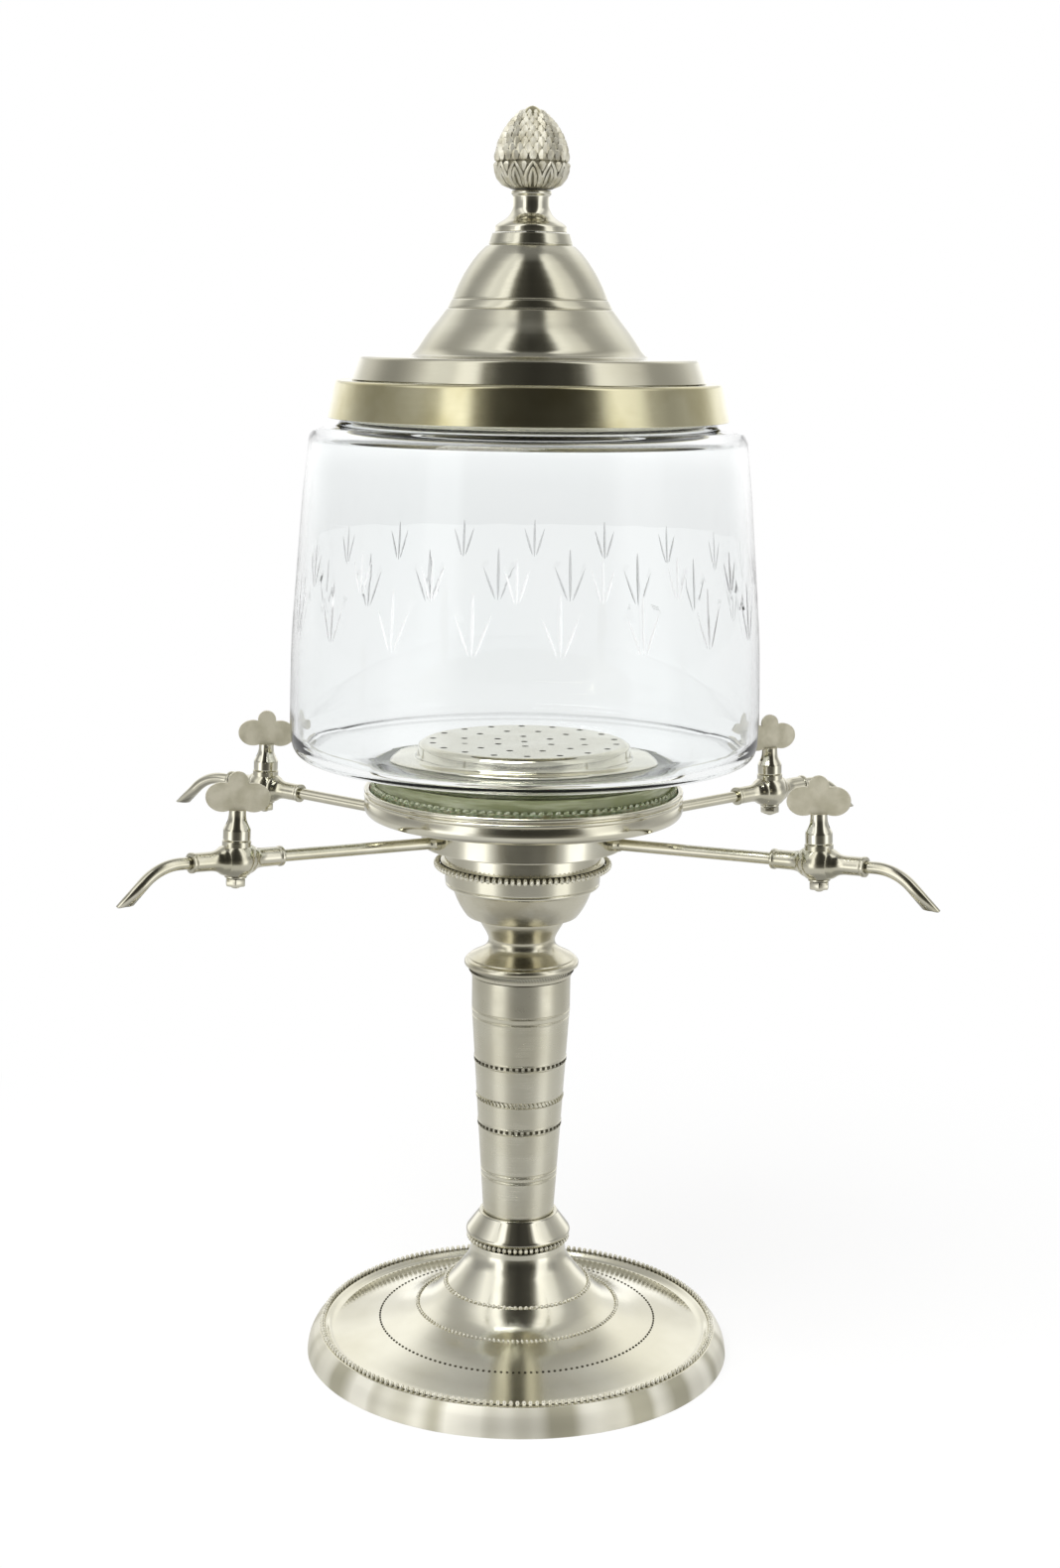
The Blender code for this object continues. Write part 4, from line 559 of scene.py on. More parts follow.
jar = {
    "wall": [
        (57.0, 266.9, 0.8), (8.3, 266.9, 0), (8.3, 270.6, 0), (59.5, 270.7, smooth), (72.0, 273.7, smooth),
        (84.0, 276.4, smooth), (92.5, 278.3, smooth), (97.0, 280.6, smooth), (98.7, 285.0, smooth),
        (99.0, 293.0, smooth), (98.8, 303.0, smooth), (98.1, 328.0, smooth), (96.7, 345.0, smooth),
        (95.3, 362.0, smooth), (93.2, 388.0, smooth), (91.2, 405.0, smooth), (90.2, 412.5, 3.0),
        (87.5, 414.5, 2.0), (79.0, 414.7, 2.0), (77.5, 417.5, 1.2), (77.5, 434.9, 0.9), (80.5, 434.9, 0.9),
        (80.5, 419.2, 1.6), (82.0, 417.6, 1.0), (90.5, 417.2, 3.0), (93.4, 413.8, 2.5),
        (94.2, 405.0, smooth), (96.2, 388.0, smooth), (98.3, 362.0, smooth), (99.7, 345.0, smooth),
        (101.1, 328.0, smooth), (101.8, 303.0, smooth), (102.0, 289.0, smooth), (101.6, 282.0, smooth),
        (99.6, 277.4, smooth), (94.5, 275.9, smooth), (86.0, 274.2, smooth), (76.0, 271.9, smooth),
        (68.0, 269.6, smooth), (65.3, 267.6, 0.8), (65.0, 257.4, 0.8), (57.0, 257.4, 0.8)],
    "outerPoints": (26, 33), "oliveBelow": 269.0, "oliveWithin": 66.0,
    "lowerFans": {"count": 18, "start": 6, "height": 344, "half": 13.0, "wide": 0.75, "deep": 0.4,
                  "spread": 21, "shorter": 0.82, "gap": 1.2},
    "upperFans": {"count": 18, "start": -4, "height": 361.5, "half": 9.0, "wide": 0.6, "deep": 0.35,
                  "spread": 17, "shorter": 0.8, "gap": 0.9},
    "sideLift": 0.8, "slopeSpan": 6,
}


def wallRadius(up):
    # the jar's outer radius between the points of its profile
    first, last = jar["outerPoints"]
    outer = [(z, r) for r, z, soft in jar["wall"][first:last]]
    for (highZ, highR), (lowZ, lowR) in zip(outer, outer[1:]):
        if lowZ <= up <= highZ:
            return lowR + (up - lowZ) / (highZ - lowZ) * (highR - lowR)
    return outer[-1][1]


def wheelCuts():
    # each stroke of a fan is the print of a narrow wheel: a four-sided spindle sunk in the wall
    strokes = []
    span = jar["slopeSpan"]
    for fans in (jar["lowerFans"], jar["upperFans"]):
        for fan in range(fans["count"]):
            azimuth = math.radians(fans["start"] - 90 + fan * 360 / fans["count"])
            foot = fans["height"] - fans["half"]
            for side in (-1, 0, 1):
                half = fans["half"] * (fans["shorter"] if side else 1)
                lean = math.radians(fans["spread"]) * side
                along = half * math.sin(lean) + side * fans["gap"]
                up = foot + half * math.cos(lean) + (jar["sideLift"] if side else 0)
                slope = math.atan2(wallRadius(up + span) - wallRadius(up - span), 2 * span)
                deselectAll()
                bpy.ops.mesh.primitive_uv_sphere_add(segments=4, ring_count=8, radius=mm)
                spindleCut = bpy.context.object
                size = Matrix.Diagonal((fans["deep"], fans["wide"], half, 1))
                tilt = Matrix.Rotation(slope, 4, "Y") @ Matrix.Rotation(-lean, 4, "X")
                out = Matrix.Translation((wallRadius(up) * mm, along * mm, up * mm))
                spindleCut.data.transform(Matrix.Rotation(azimuth, 4, "Z") @ out @ tilt @ size)
                strokes.append(spindleCut)
    cutter = joined("wheelCutter", strokes)
    cutter.data.materials.append(groundGlass)
    return cutter


jarGlass = lathe("glassJar", jar["wall"], 144)
for finish in (glass, groundGlass, oliveGlass):
    jarGlass.data.materials.append(finish)
cutAway(jarGlass, wheelCuts())
bpy.ops.object.shade_smooth_by_angle(angle=math.radians(24))
for face in jarGlass.data.polygons:
    if face.center.z < jar["oliveBelow"] * mm and face.center.xy.length < jar["oliveWithin"] * mm:
        face.material_index = 2
dress(jarGlass, "stand", glass, "clear_glass", "glass_jar")
print("jar:", len(jarGlass.data.polygons), "faces")

strainer = {
    "cap": [
        (0, 281.5, 0), (44.6, 281.5, 1.2), (46.4, 280.0, 0.8), (46.9, 275.0, 0.8), (47.8, 273.7, 0.6),
        (57.8, 273.1, 0.8), (58.9, 272.3, 0.4), (58.9, 271.0, 0.1), (58.1, 271.0, 0), (57.6, 272.2, 0),
        (47.4, 272.8, 0), (46.0, 274.6, 0), (45.4, 279.7, 0), (44.4, 280.5, 0), (0, 280.5, 0)],
    "holes": ((0, 1), (13.3, 6), (27.1, 12), (40.5, 18)),
    "drill": {"radius": 1.5, "long": 6, "middle": 281.4, "sides": 14},
}


def strainerDrills():
    drills = []
    bit = strainer["drill"]
    for radius, count in strainer["holes"]:
        deselectAll()
        bpy.ops.mesh.primitive_cylinder_add(vertices=bit["sides"], radius=bit["radius"] * mm,
                                            depth=bit["long"] * mm,
                                            location=(radius * mm, 0, bit["middle"] * mm))
        drill = bpy.context.object
        applyPlace()
        if count > 1:
            bpy.ops.object.mode_set(mode="EDIT")
            bpy.ops.mesh.select_all(action="SELECT")
            turnAll((0, 0, 0), math.pi / count, "Z")
            copiesRound(count)
            bpy.ops.object.mode_set(mode="OBJECT")
        drills.append(drill)
    return joined("strainerDrills", drills)


strainerCap = lathe("strainerCap", strainer["cap"], 112)
cutAway(strainerCap, strainerDrills())
bpy.ops.object.shade_smooth_by_angle(angle=math.radians(38))
dress(strainerCap, "stand", mirror, "polished_nickel", "strainer_cap")
print("strainer")


# Lid and finial

lid = {
    "band": [
        (72.8, 436.5, 0), (81.5, 436.5, 0.7), (82.2, 435.8, 0.5), (85.2, 421.4, 0.3), (85.3, 420.8, 0.2),
        (84.2, 420.8, 0.2), (80.9, 435.2, 0.3), (72.8, 435.2, 0)],
    "locatingRing": [(72.8, 434.9, 0), (76.8, 434.9, 0.4), (76.8, 415.3, 0.3), (75.8, 415.3, 0.3),
                     (75.8, 433.8, 0.3), (72.8, 433.8, 0)],
    "cone": [
        (2.4, 497.9, 0), (16.4, 497.9, 0.35), (17.8, 493.5, 0.3), (17.5, 493.0, 0.15), (18.9, 492.6, 0.2),
        (21.4, 490.3, smooth), (23.8, 487.5, smooth), (26.1, 484.3, smooth), (28.3, 480.9, smooth),
        (30.2, 477.4, smooth), (31.8, 474.0, smooth), (32.9, 471.2, 0.2), (32.7, 470.7, 0.1),
        (33.4, 470.2, 0.2), (34.2, 468.7, 0.5), (34.9, 467.3, 0.2), (34.7, 466.8, 0.1), (35.5, 466.3, 0.2),
        (37.2, 464.1, smooth), (39.3, 461.4, smooth), (41.8, 458.4, smooth), (44.3, 455.1, smooth),
        (46.5, 451.9, smooth), (48.4, 448.9, smooth), (50.6, 447.1, smooth), (54.0, 446.8, smooth),
        (62.0, 446.7, smooth), (71.8, 446.5, 1.3), (73.6, 441.6, smooth), (75.3, 436.9, 0.2),
        (74.1, 436.9, 0), (72.8, 440.9, 0), (71.0, 445.0, 0), (69.8, 445.5, 0), (51.2, 445.7, 0),
        (47.0, 448.2, 0), (33.6, 465.9, 0), (30.3, 473.4, 0), (22.3, 486.8, 0), (16.7, 491.5, 0),
        (15.3, 496.7, 0), (2.4, 496.7, 0)],
    "finialNeck": [
        (2.4, 515.4, 0), (8.2, 515.4, 0.3), (8.7, 514.5, 0.5), (8.2, 513.6, 0.3), (7.7, 513.2, 0.3),
        (7.6, 510.4, smooth), (7.9, 507.6, smooth), (9.0, 505.5, smooth), (10.9, 503.7, smooth),
        (13.4, 502.3, smooth), (14.8, 501.2, 0.4), (15.3, 500.4, 0.3), (15.3, 498.3, 0.3), (2.4, 498.3, 0)],
}
dress(lathe("lidBand", lid["band"], 160), "lid", golden, "aged_band", "lid_band")
# the locating ring and cone in the lid's painted shade
dress(lathe("lidLocatingRing", lid["locatingRing"], 128), "lid", shadedLidFinish, "satin_nickel",
      "lid_locating_ring")
dress(lathe("lidCone", lid["cone"], 160), "lid", shadedLidFinish, "satin_nickel", "lid_cone")
dress(lathe("finialNeck", lid["finialNeck"], 72), "lid", mirror, "polished_nickel", "finial_neck")

pinecone = {
    "core": [(0, 549.0, 0), (2.4, 548.4, smooth), (5.6, 546.0, smooth), (8.4, 542.4, smooth),
             (10.9, 538.6, smooth), (12.9, 534.4, smooth), (14.0, 530.4, smooth), (14.6, 527.4, 0.3),
             (13.9, 526.5, 0.3), (14.8, 525.4, 0.5), (14.8, 522.6, smooth), (13.5, 519.3, smooth),
             (11.2, 517.2, smooth), (8.5, 515.9, 0.3), (2.4, 515.9, 0), (2.4, 520.0, 0), (0, 520.0, 0)],
    "tip": [(0, 549.85, 0), (1.2, 549.6, smooth), (2.6, 548.8, smooth), (4.6, 547.1, smooth),
            (5.9, 545.7, 0.2), (0, 545.7, 0)],
    "scales": [  # height, radius, how far the scale leans in, count, width, length
        (529.2, 14.6, 1, 24, 3.3, 4.9), (531.7, 14.1, 4, 24, 3.3, 5.3), (534.2, 13.4, 8, 24, 3.1, 5.3),
        (536.7, 12.4, 12, 24, 2.9, 5.3), (539.1, 11.1, 18, 20, 3.1, 5.2), (541.3, 9.7, 25, 20, 2.7, 4.9),
        (543.3, 8.1, 32, 16, 2.8, 4.5), (545.1, 6.4, 40, 16, 2.2, 4.0), (546.7, 4.6, 48, 10, 2.4, 3.3)],
    "cup": ((8.9, 516.3), (11.9, 517.5), (14.0, 519.7), (15.0, 522.4), (15.3, 525.0), (15.1, 526.6)),
    "leaves": 12,
    "ribs": {  # how far up the cup, degrees to the side, width
        "leftEdge": ((0.03, -12.5, 1.3), (0.25, -12.8, 1.5), (0.5, -12.4, 1.6), (0.72, -9.0, 1.6),
                     (0.9, -3.5, 1.4), (1.0, -0.6, 0.7)),
        "rightEdge": ((0.03, 12.5, 1.3), (0.25, 12.8, 1.5), (0.5, 12.4, 1.6), (0.72, 9.0, 1.6),
                      (0.9, 3.5, 1.4), (1.0, 0.6, 0.7)),
        "leftRib": ((0.05, -5.0, 1.0), (0.3, -5.4, 1.3), (0.55, -4.6, 1.3), (0.74, -1.6, 1.0),
                    (0.82, -0.3, 0.5)),
        "rightRib": ((0.05, 5.0, 1.0), (0.3, 5.4, 1.3), (0.55, 4.6, 1.3), (0.74, 1.6, 1.0),
                     (0.82, 0.3, 0.5)),
        "spear": ((0.7, 15.0, 0.5), (0.8, 15.0, 2.0), (0.92, 15.0, 3.0), (1.0, 15.0, 1.6)),
    },
}


def cupPoint(share, side):
    # a point that far up the cup's curve, turned to one side
    spans = list(zip(pinecone["cup"], pinecone["cup"][1:]))
    lengths = [math.dist(here, there) for here, there in spans]
    left = share * sum(lengths)
    for (here, there), length in zip(spans, lengths):
        if left <= length or there == pinecone["cup"][-1]:
            t = min(left / length, 1)
            across = here[0] + t * (there[0] - here[0])
            up = here[1] + t * (there[1] - here[1])
            turned = math.radians(side)
            return Vector((across * math.cos(turned), across * math.sin(turned), up)) * mm
        left -= length


def cupRib(name, rib):
    # a four-sided rib extruded from point to point, then turned copies of it for all the leaves
    line = [cupPoint(share, side) for share, side, width in rib]
    deselectAll()
    bpy.ops.mesh.primitive_circle_add(vertices=4, radius=rib[0][2] * mm / 2, fill_type="NGON",
                                      location=line[0])
    piece = bpy.context.object
    applyPlace()
    bpy.ops.object.mode_set(mode="EDIT")
    bpy.ops.mesh.select_all(action="SELECT")
    for step in range(1, len(rib)):
        bpy.ops.mesh.extrude_region_move(TRANSFORM_OT_translate={"value": line[step] - line[step - 1]})
        grow = rib[step][2] / rib[step - 1][2]
        bpy.ops.transform.resize(value=(grow, grow, 1), center_override=line[step])
    bpy.ops.mesh.select_all(action="SELECT")
    copiesRound(pinecone["leaves"])
    return closeShape(piece, name, 25)


reliefs = []
for order, (up, radius, lean, count, width, length) in enumerate(pinecone["scales"]):
    row = {"radius": radius, "height": up, "size": (2.6, width, length), "count": count,
           "lean": (0, -lean, 0), "sides": 4, "rings": 4, "sharp": 20,
           "turn": 180 / count if order % 2 else 0}
    reliefs.append(ringOf(f"scaleRow{order}", row))
reliefs += [cupRib(name, rib) for name, rib in pinecone["ribs"].items()]
# the scales in painted light
dress(joined("pineconeScales", reliefs), "lid", litCastFinish, "cast_nickel")
dress(lathe("pineconeTip", pinecone["tip"], 40), "lid", golden, "cast_nickel")
# the core in painted shade, dark between the scales
dress(lathe("pineconeCore", pinecone["core"], 72), "lid", scaleGapShade, "cast_nickel", "finial_pinecone")
print("lid and finial")


# Taps: modelled once round the ball's centre, with the arm along X, then set out four times

tap = {
    "reach": 142.0, "height": 245.228, "rise": 2.5,
    "azimuths": {"lf": -147, "rf": -33, "rb": 33, "lb": 147},
    "yaws": {"lf": 8, "rf": -12, "rb": 20, "lb": 6},
    "ballRadius": 8.2, "ballTop": 8.0, "ballFoot": 6.1, "bossRadius": 5.9, "ballSteps": 14,
    "socket": [(2.7, 21.0, 0), (4.2, 21.0, 0.3), (4.3, 19.5, 0.3), (3.8, 19.1, 0.1), (3.9, 18.7, 0.2),
               (3.95, 11.0, smooth), (4.5, 8.6, smooth), (6.2, 6.3, smooth), (6.6, 3.0, 0), (2.7, 3.0, 0)],
    "pipe": [(1.65, -10.2, 0), (2.55, -10.2, 0.2), (2.55, -111.0, 0.2), (1.65, -111.0, 0)],
    "solder": [(2.56, -92.4, 0), (2.9, -92.8, 0.2), (3.3, -94.6, 0.4), (3.3, -97.4, 0.2), (2.56, -97.4, 0)],
    "spout": {"radius": 2.55, "wall": 0.85, "start": 10.2, "straight": 25.0, "bend": 22.0, "bendSteps": 16,
              "droop": 43.0, "droopLength": 22.0, "cut": 12.9, "sides": 24},
    "key": [
        (0, 20.7, 0), (3.6, 20.7, 0.3), (3.55, 18.4, smooth), (3.9, 16.2, smooth), (4.7, 14.4, smooth),
        (5.5, 12.9, 0.4), (5.6, 12.3, 0.2), (5.6, 8.4, 0.25), (4.0, 8.4, 0), (4.0, 8.0, 0), (3.4, -6.1, 0),
        (1.9, -6.1, 0), (1.9, -11.5, 0.3), (1.2, -11.9, 0.2), (0, -11.9, 0)],
    "slot": {"long": 14, "wide": 2.2, "foot": 14.5, "top": 22.7},
    "washer": [(2.2, -6.4, 0), (4.6, -6.4, 0.2), (4.6, -7.3, 0.2), (2.2, -7.3, 0)],
    "nut": {"flats": 7.6, "top": -7.6, "foot": -10.9, "bevel": 0.45, "bore": 2.2, "drill": 9},
    "handle": {"thick": 1.6, "foot": 14.8, "level": 25.7, "tang": 3.3, "lobeOut": 6.3, "lobeWide": 6.8,
               "lobeHigh": 6.0, "lobeEnd": 112, "crownLevel": 32.1, "crown": 4.2, "crownFrom": -8,
               "crownTo": 90, "bevel": 0.35, "lobeSteps": 24, "crownSteps": 10},
}


def ballOutline():
    # flat boss on top, then the ball down to the flat that the washer sits on
    radius, boss, steps = tap["ballRadius"], tap["bossRadius"], tap["ballSteps"]
    outline = [(0, tap["ballTop"], 0), (boss, tap["ballTop"], 0.4)]
    start = math.acos(boss / radius)
    end = -math.asin(tap["ballFoot"] / radius)
    for step in range(steps + 1):
        angle = start + (end - start) * step / steps
        outline.append((radius * math.cos(angle), radius * math.sin(angle), 0))
    return outline + [(0, -tap["ballFoot"], 0)]


def tapBodyMaster():
    ball = lathe("tapBall", ballOutline(), 40)
    outer = lathe("tapSocketOut", tap["socket"], 40)
    inner = copyTo(outer, "tapSocketIn", Matrix.Rotation(math.pi, 4, "X"))
    body = joined("tapBodyMaster", [outer, inner])
    body.data.transform(Matrix.Rotation(math.pi / 2, 4, "Y"))
    return joined("tapBodyMaster", [ball, body])


def lyingLathe(name, outline, turns=28):
    # turned round Z, then laid along X
    piece = lathe(name, outline, turns)
    piece.data.transform(Matrix.Rotation(math.pi / 2, 4, "Y"))
    return piece


def spoutMaster():
    # a ring of edges pulled out straight, spun round the bend, pulled down the droop and cut off level
    spout = tap["spout"]
    rise = math.radians(tap["rise"])
    droop = rise + math.radians(spout["droop"])
    deselectAll()
    bpy.ops.mesh.primitive_circle_add(vertices=spout["sides"], radius=spout["radius"] * mm,
                                      location=(spout["start"] * mm, 0, 0), rotation=(0, math.pi / 2, 0))
    piece = bpy.context.object
    applyPlace()
    bpy.ops.object.mode_set(mode="EDIT")
    bpy.ops.mesh.select_all(action="SELECT")
    ahead = (spout["straight"] - spout["start"]) * mm
    bpy.ops.mesh.extrude_region_move(TRANSFORM_OT_translate={"value": (ahead, 0, 0)})
    bpy.ops.mesh.spin(steps=spout["bendSteps"], angle=-droop,
                      center=(spout["straight"] * mm, 0, -spout["bend"] * mm), axis=(0, 1, 0))
    length = spout["droopLength"] * mm
    fall = (length * math.cos(droop), 0, -length * math.sin(droop))
    bpy.ops.mesh.extrude_region_move(TRANSFORM_OT_translate={"value": fall})
    level = Vector((math.sin(rise), 0, math.cos(rise)))
    bpy.ops.mesh.select_all(action="SELECT")
    bpy.ops.mesh.bisect(plane_co=level * -spout["cut"] * mm, plane_no=level, clear_inner=True)
    closeShape(piece, "spoutMaster")
    wall = piece.modifiers.new("wall", "SOLIDIFY")
    wall.thickness = spout["wall"] * mm
    wall.offset = -1
    bpy.ops.object.modifier_apply(modifier="wall")
    return piece


def keyMaster():
    piece = lathe("keyMaster", tap["key"], 36)
    slot = tap["slot"]
    deselectAll()
    bpy.ops.mesh.primitive_cube_add(size=1, location=(0, 0, (slot["foot"] + slot["top"]) / 2 * mm),
                                    scale=(slot["long"] * mm, slot["wide"] * mm,
                                           (slot["top"] - slot["foot"]) * mm))
    saw = bpy.context.object
    applyPlace()
    cutAway(piece, saw)
    bpy.ops.object.shade_smooth_by_angle(angle=math.radians(38))
    return piece


def nutMaster():
    nut = tap["nut"]
    deselectAll()
    bpy.ops.mesh.primitive_cylinder_add(vertices=6, radius=nut["flats"] / math.sqrt(3) * mm,
                                        depth=(nut["top"] - nut["foot"]) * mm,
                                        location=(0, 0, (nut["top"] + nut["foot"]) / 2 * mm))
    piece = bpy.context.object
    bpy.ops.object.mode_set(mode="EDIT")
    bpy.ops.mesh.select_all(action="SELECT")
    bpy.ops.mesh.bevel(offset=nut["bevel"] * mm, segments=2, affect="EDGES")
    closeShape(piece, "nutMaster", 30)
    deselectAll()
    bpy.ops.mesh.primitive_cylinder_add(vertices=24, radius=nut["bore"] * mm, depth=nut["drill"] * mm,
                                        location=(0, 0, nut["foot"] * mm))
    drill = bpy.context.object
    applyPlace()
    cutAway(piece, drill)
    return piece


def handleMaster():
    # half of the trefoil, then its mirror image; the face is filled and drawn out to the plate's
    # thickness, and its edge is eased
    plate = tap["handle"]
    half = [(plate["tang"], plate["foot"])]
    start = -math.pi + math.acos((plate["lobeOut"] - plate["tang"]) / plate["lobeWide"])
    end = math.radians(plate["lobeEnd"])
    for step in range(plate["lobeSteps"] + 1):
        angle = start + (end - start) * step / plate["lobeSteps"]
        half.append((plate["lobeOut"] + plate["lobeWide"] * math.cos(angle),
                     plate["level"] + plate["lobeHigh"] * math.sin(angle)))
    sweep = plate["crownTo"] - plate["crownFrom"]
    for step in range(plate["crownSteps"] + 1):
        angle = math.radians(plate["crownFrom"] + sweep * step / plate["crownSteps"])
        half.append((plate["crown"] * math.cos(angle),
                     plate["crownLevel"] + plate["crown"] * math.sin(angle)))
    line = half + [(-across, up) for across, up in reversed(half[:-1])]
    piece = trace([Vector((across * mm, -plate["thick"] / 2 * mm, up * mm)) for across, up in line])
    bpy.ops.mesh.edge_face_add()
    bpy.ops.mesh.extrude_region_move(TRANSFORM_OT_translate={"value": (0, plate["thick"] * mm, 0)})
    closeShape(piece, "handleMaster")
    ease = piece.modifiers.new("ease", "BEVEL")
    ease.width = plate["bevel"] * mm
    ease.segments = 2
    ease.angle_limit = math.radians(60)
    bpy.ops.object.modifier_apply(modifier="ease")
    bpy.ops.object.shade_smooth_by_angle(angle=math.radians(30))
    return piece


masters = {
    "tapBody": (tapBodyMaster(), tapFinish, "polished_nickel", "tap_body", False),
    "armPipe": (lyingLathe("pipeMaster", tap["pipe"]), tapFinish, "satin_nickel", "arm_pipe", False),
    "armSolder": (lyingLathe("solderMaster", tap["solder"]), tapFinish, "satin_nickel", None, False),
    "tapSpout": (spoutMaster(), tapFinish, "satin_nickel", "tap_spout", False),
    "tapKey": (keyMaster(), mirror, "polished_nickel", "tap_key", True),
    "tapHandle": (handleMaster(), blasted, "cast_nickel", "tap_handle", True),
    "tapWasher": (lathe("washerMaster", tap["washer"], 32), tapFinish, "satin_nickel", "tap_washer", True),
    "tapNut": (nutMaster(), tapFinish, "satin_nickel", "tap_nut", True),
}
for label, degrees in tap["azimuths"].items():
    azimuth = math.radians(degrees)
    reach = Matrix.Translation((tap["reach"] * mm, 0, tap["height"] * mm))
    place = Matrix.Rotation(azimuth, 4, "Z") @ reach @ Matrix.Rotation(-math.radians(tap["rise"]), 4, "Y")
    yaw = Matrix.Rotation(math.radians(tap["yaws"][label]) - azimuth, 4, "Z")
    for name, (master, finish, slotName, node, turns) in masters.items():
        piece = copyTo(master, f"{name}_{label}", place @ yaw if turns else place)
        nodes = [f"{node}_{label}"] if node else []
        dress(piece, f"key_{label}" if turns else "stand", finish, slotName, *nodes)
for row in masters.values():
    bpy.data.objects.remove(row[0])
print("taps")


# CAD nodes that keep their own shape: felt, weight and fastenings

keptNodes = {"base_felt": "woolFelt", "base_weight": "castIron", "outlet_gasket": "blackRubber",
             "tie_rod": "turnedSteel", "tie_washer": "turnedSteel", "tie_nut": "turnedSteel",
             "outlet_fitting": "turnedSteel", "finial_stud": "turnedSteel", "finial_washer": "turnedSteel",
             "finial_nut": "turnedSteel"}
for node, finish in keptNodes.items():
    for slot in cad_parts[node].material_slots:
        slot.material = grains[finish]


# Camera, where the photograph was taken from

view = {"lens": 36.59, "sensor": 24, "azimuth": -2.0, "pitch": 79.03, "roll": 0.78,
        "place": (2.75, -1030, 462), "nearest": 0.05}
camera = bpy.data.objects.new("camera", bpy.data.cameras.new("camera"))
scene.collection.objects.link(camera)
camera.data.sensor_fit = "VERTICAL"
camera.data.sensor_height = view["sensor"]
camera.data.lens = view["lens"]
camera.data.clip_start = view["nearest"]
around = Matrix.Rotation(math.radians(view["azimuth"]), 4, "Z")
stand = Matrix.Translation(Vector(view["place"]) * mm)
tilt = Matrix.Rotation(math.radians(view["pitch"]), 4, "X")
roll = Matrix.Rotation(math.radians(view["roll"]), 4, "Z")
camera.matrix_world = around @ stand @ tilt @ roll
scene.camera = camera


# Studio: white behind, two tall windows in front, a dim room between them

studio = {
    # each row: degrees from the camera's side, positive to the right; how bright; 1 where the dark is warm
    "table": [  # just below the eye's level
        (-150, 0.9, 0), (-142, 0.62, 0), (-122, 0.5, 0), (-100, 0.52, 0), (-80, 0.6, 0), (-72, 0.9, 0),
        (-67, 1.7, 0), (-46, 1.7, 0), (-38, 0.8, 0), (-28, 0.26, 1), (-19, 0.12, 1), (2, 0.09, 1),
        (22, 0.12, 1), (34, 0.28, 1), (44, 0.65, 0), (52, 1.5, 0), (69, 1.6, 0), (75, 0.9, 0), (84, 0.6, 0),
        (104, 0.5, 0), (124, 0.5, 0), (140, 0.65, 0), (150, 0.9, 0)],
    "middle": [  # the same, 15 degrees up
        (-150, 1.1, 0), (-142, 0.8, 0), (-124, 0.5, 0), (-104, 0.34, 0), (-84, 0.4, 0), (-66, 0.48, 0),
        (-56, 0.7, 0), (-52, 1.5, 0), (-38, 1.5, 0), (-33, 0.3, 1), (-22, 0.06, 1), (0, 0.04, 1),
        (30, 0.06, 1), (39, 0.16, 1), (45, 0.9, 0), (50, 1.3, 0), (66, 1.1, 0), (74, 0.5, 0), (88, 0.36, 0),
        (108, 0.5, 0), (127, 0.62, 0), (140, 0.95, 0), (150, 1.15, 0)],
    "upper": [  # the same, 40 degrees up and more
        (-150, 0.75, 0), (-138, 0.55, 0), (-123, 0.5, 0), (-106, 0.5, 0), (-96, 0.6, 0), (-86, 0.85, 0),
        (-76, 1.2, 0), (-67, 1.1, 0), (-58, 1.05, 0), (-52, 1.5, 0), (-41, 1.45, 0), (-35, 0.3, 1),
        (-24, 0.08, 1), (0, 0.04, 1), (28, 0.06, 1), (38, 0.16, 1), (44, 0.7, 0), (48, 1.4, 0),
        (58, 1.35, 0), (70, 1.1, 0), (82, 0.95, 0), (92, 0.55, 0), (106, 0.5, 0), (120, 0.7, 0),
        (132, 0.95, 0), (148, 0.9, 0)],
    "rises": ((-0.15, 0.12), (0.3, 0.52)),
    "behind": [(-0.6, 0.9), (-0.3, 0.75), (-0.15, 0.5), (-0.05, 1.0), (0, 1.3), (0.11, 1.3), (0.18, 0.95),
               (0.3, 1.0), (0.42, 1.2), (0.6, 1.2), (0.66, 0.98), (0.71, 0.7), (0.76, 0.52), (0.82, 0.42),
               (0.92, 0.4)],
    "below": [(-0.95, 0.36), (-0.85, 0.42), (-0.75, 0.64), (-0.45, 0.72)],
    "overhead": (0.95, 0.985), "ceiling": 0.25, "ground": (-0.46, -0.22), "sides": (112, 150),
    "throughGlass": 0.55, "warm": (1.0, 0.97, 0.86), "most": 2.0,
}


def fillRamp(node, stops):
    ramp = node.color_ramp
    while len(ramp.elements) > 1:
        ramp.elements.remove(ramp.elements[0])
    ramp.elements[0].position = stops[0][0]
    ramp.elements[0].color = stops[0][1]
    for position, colour in stops[1:]:
        ramp.elements.new(position).color = colour


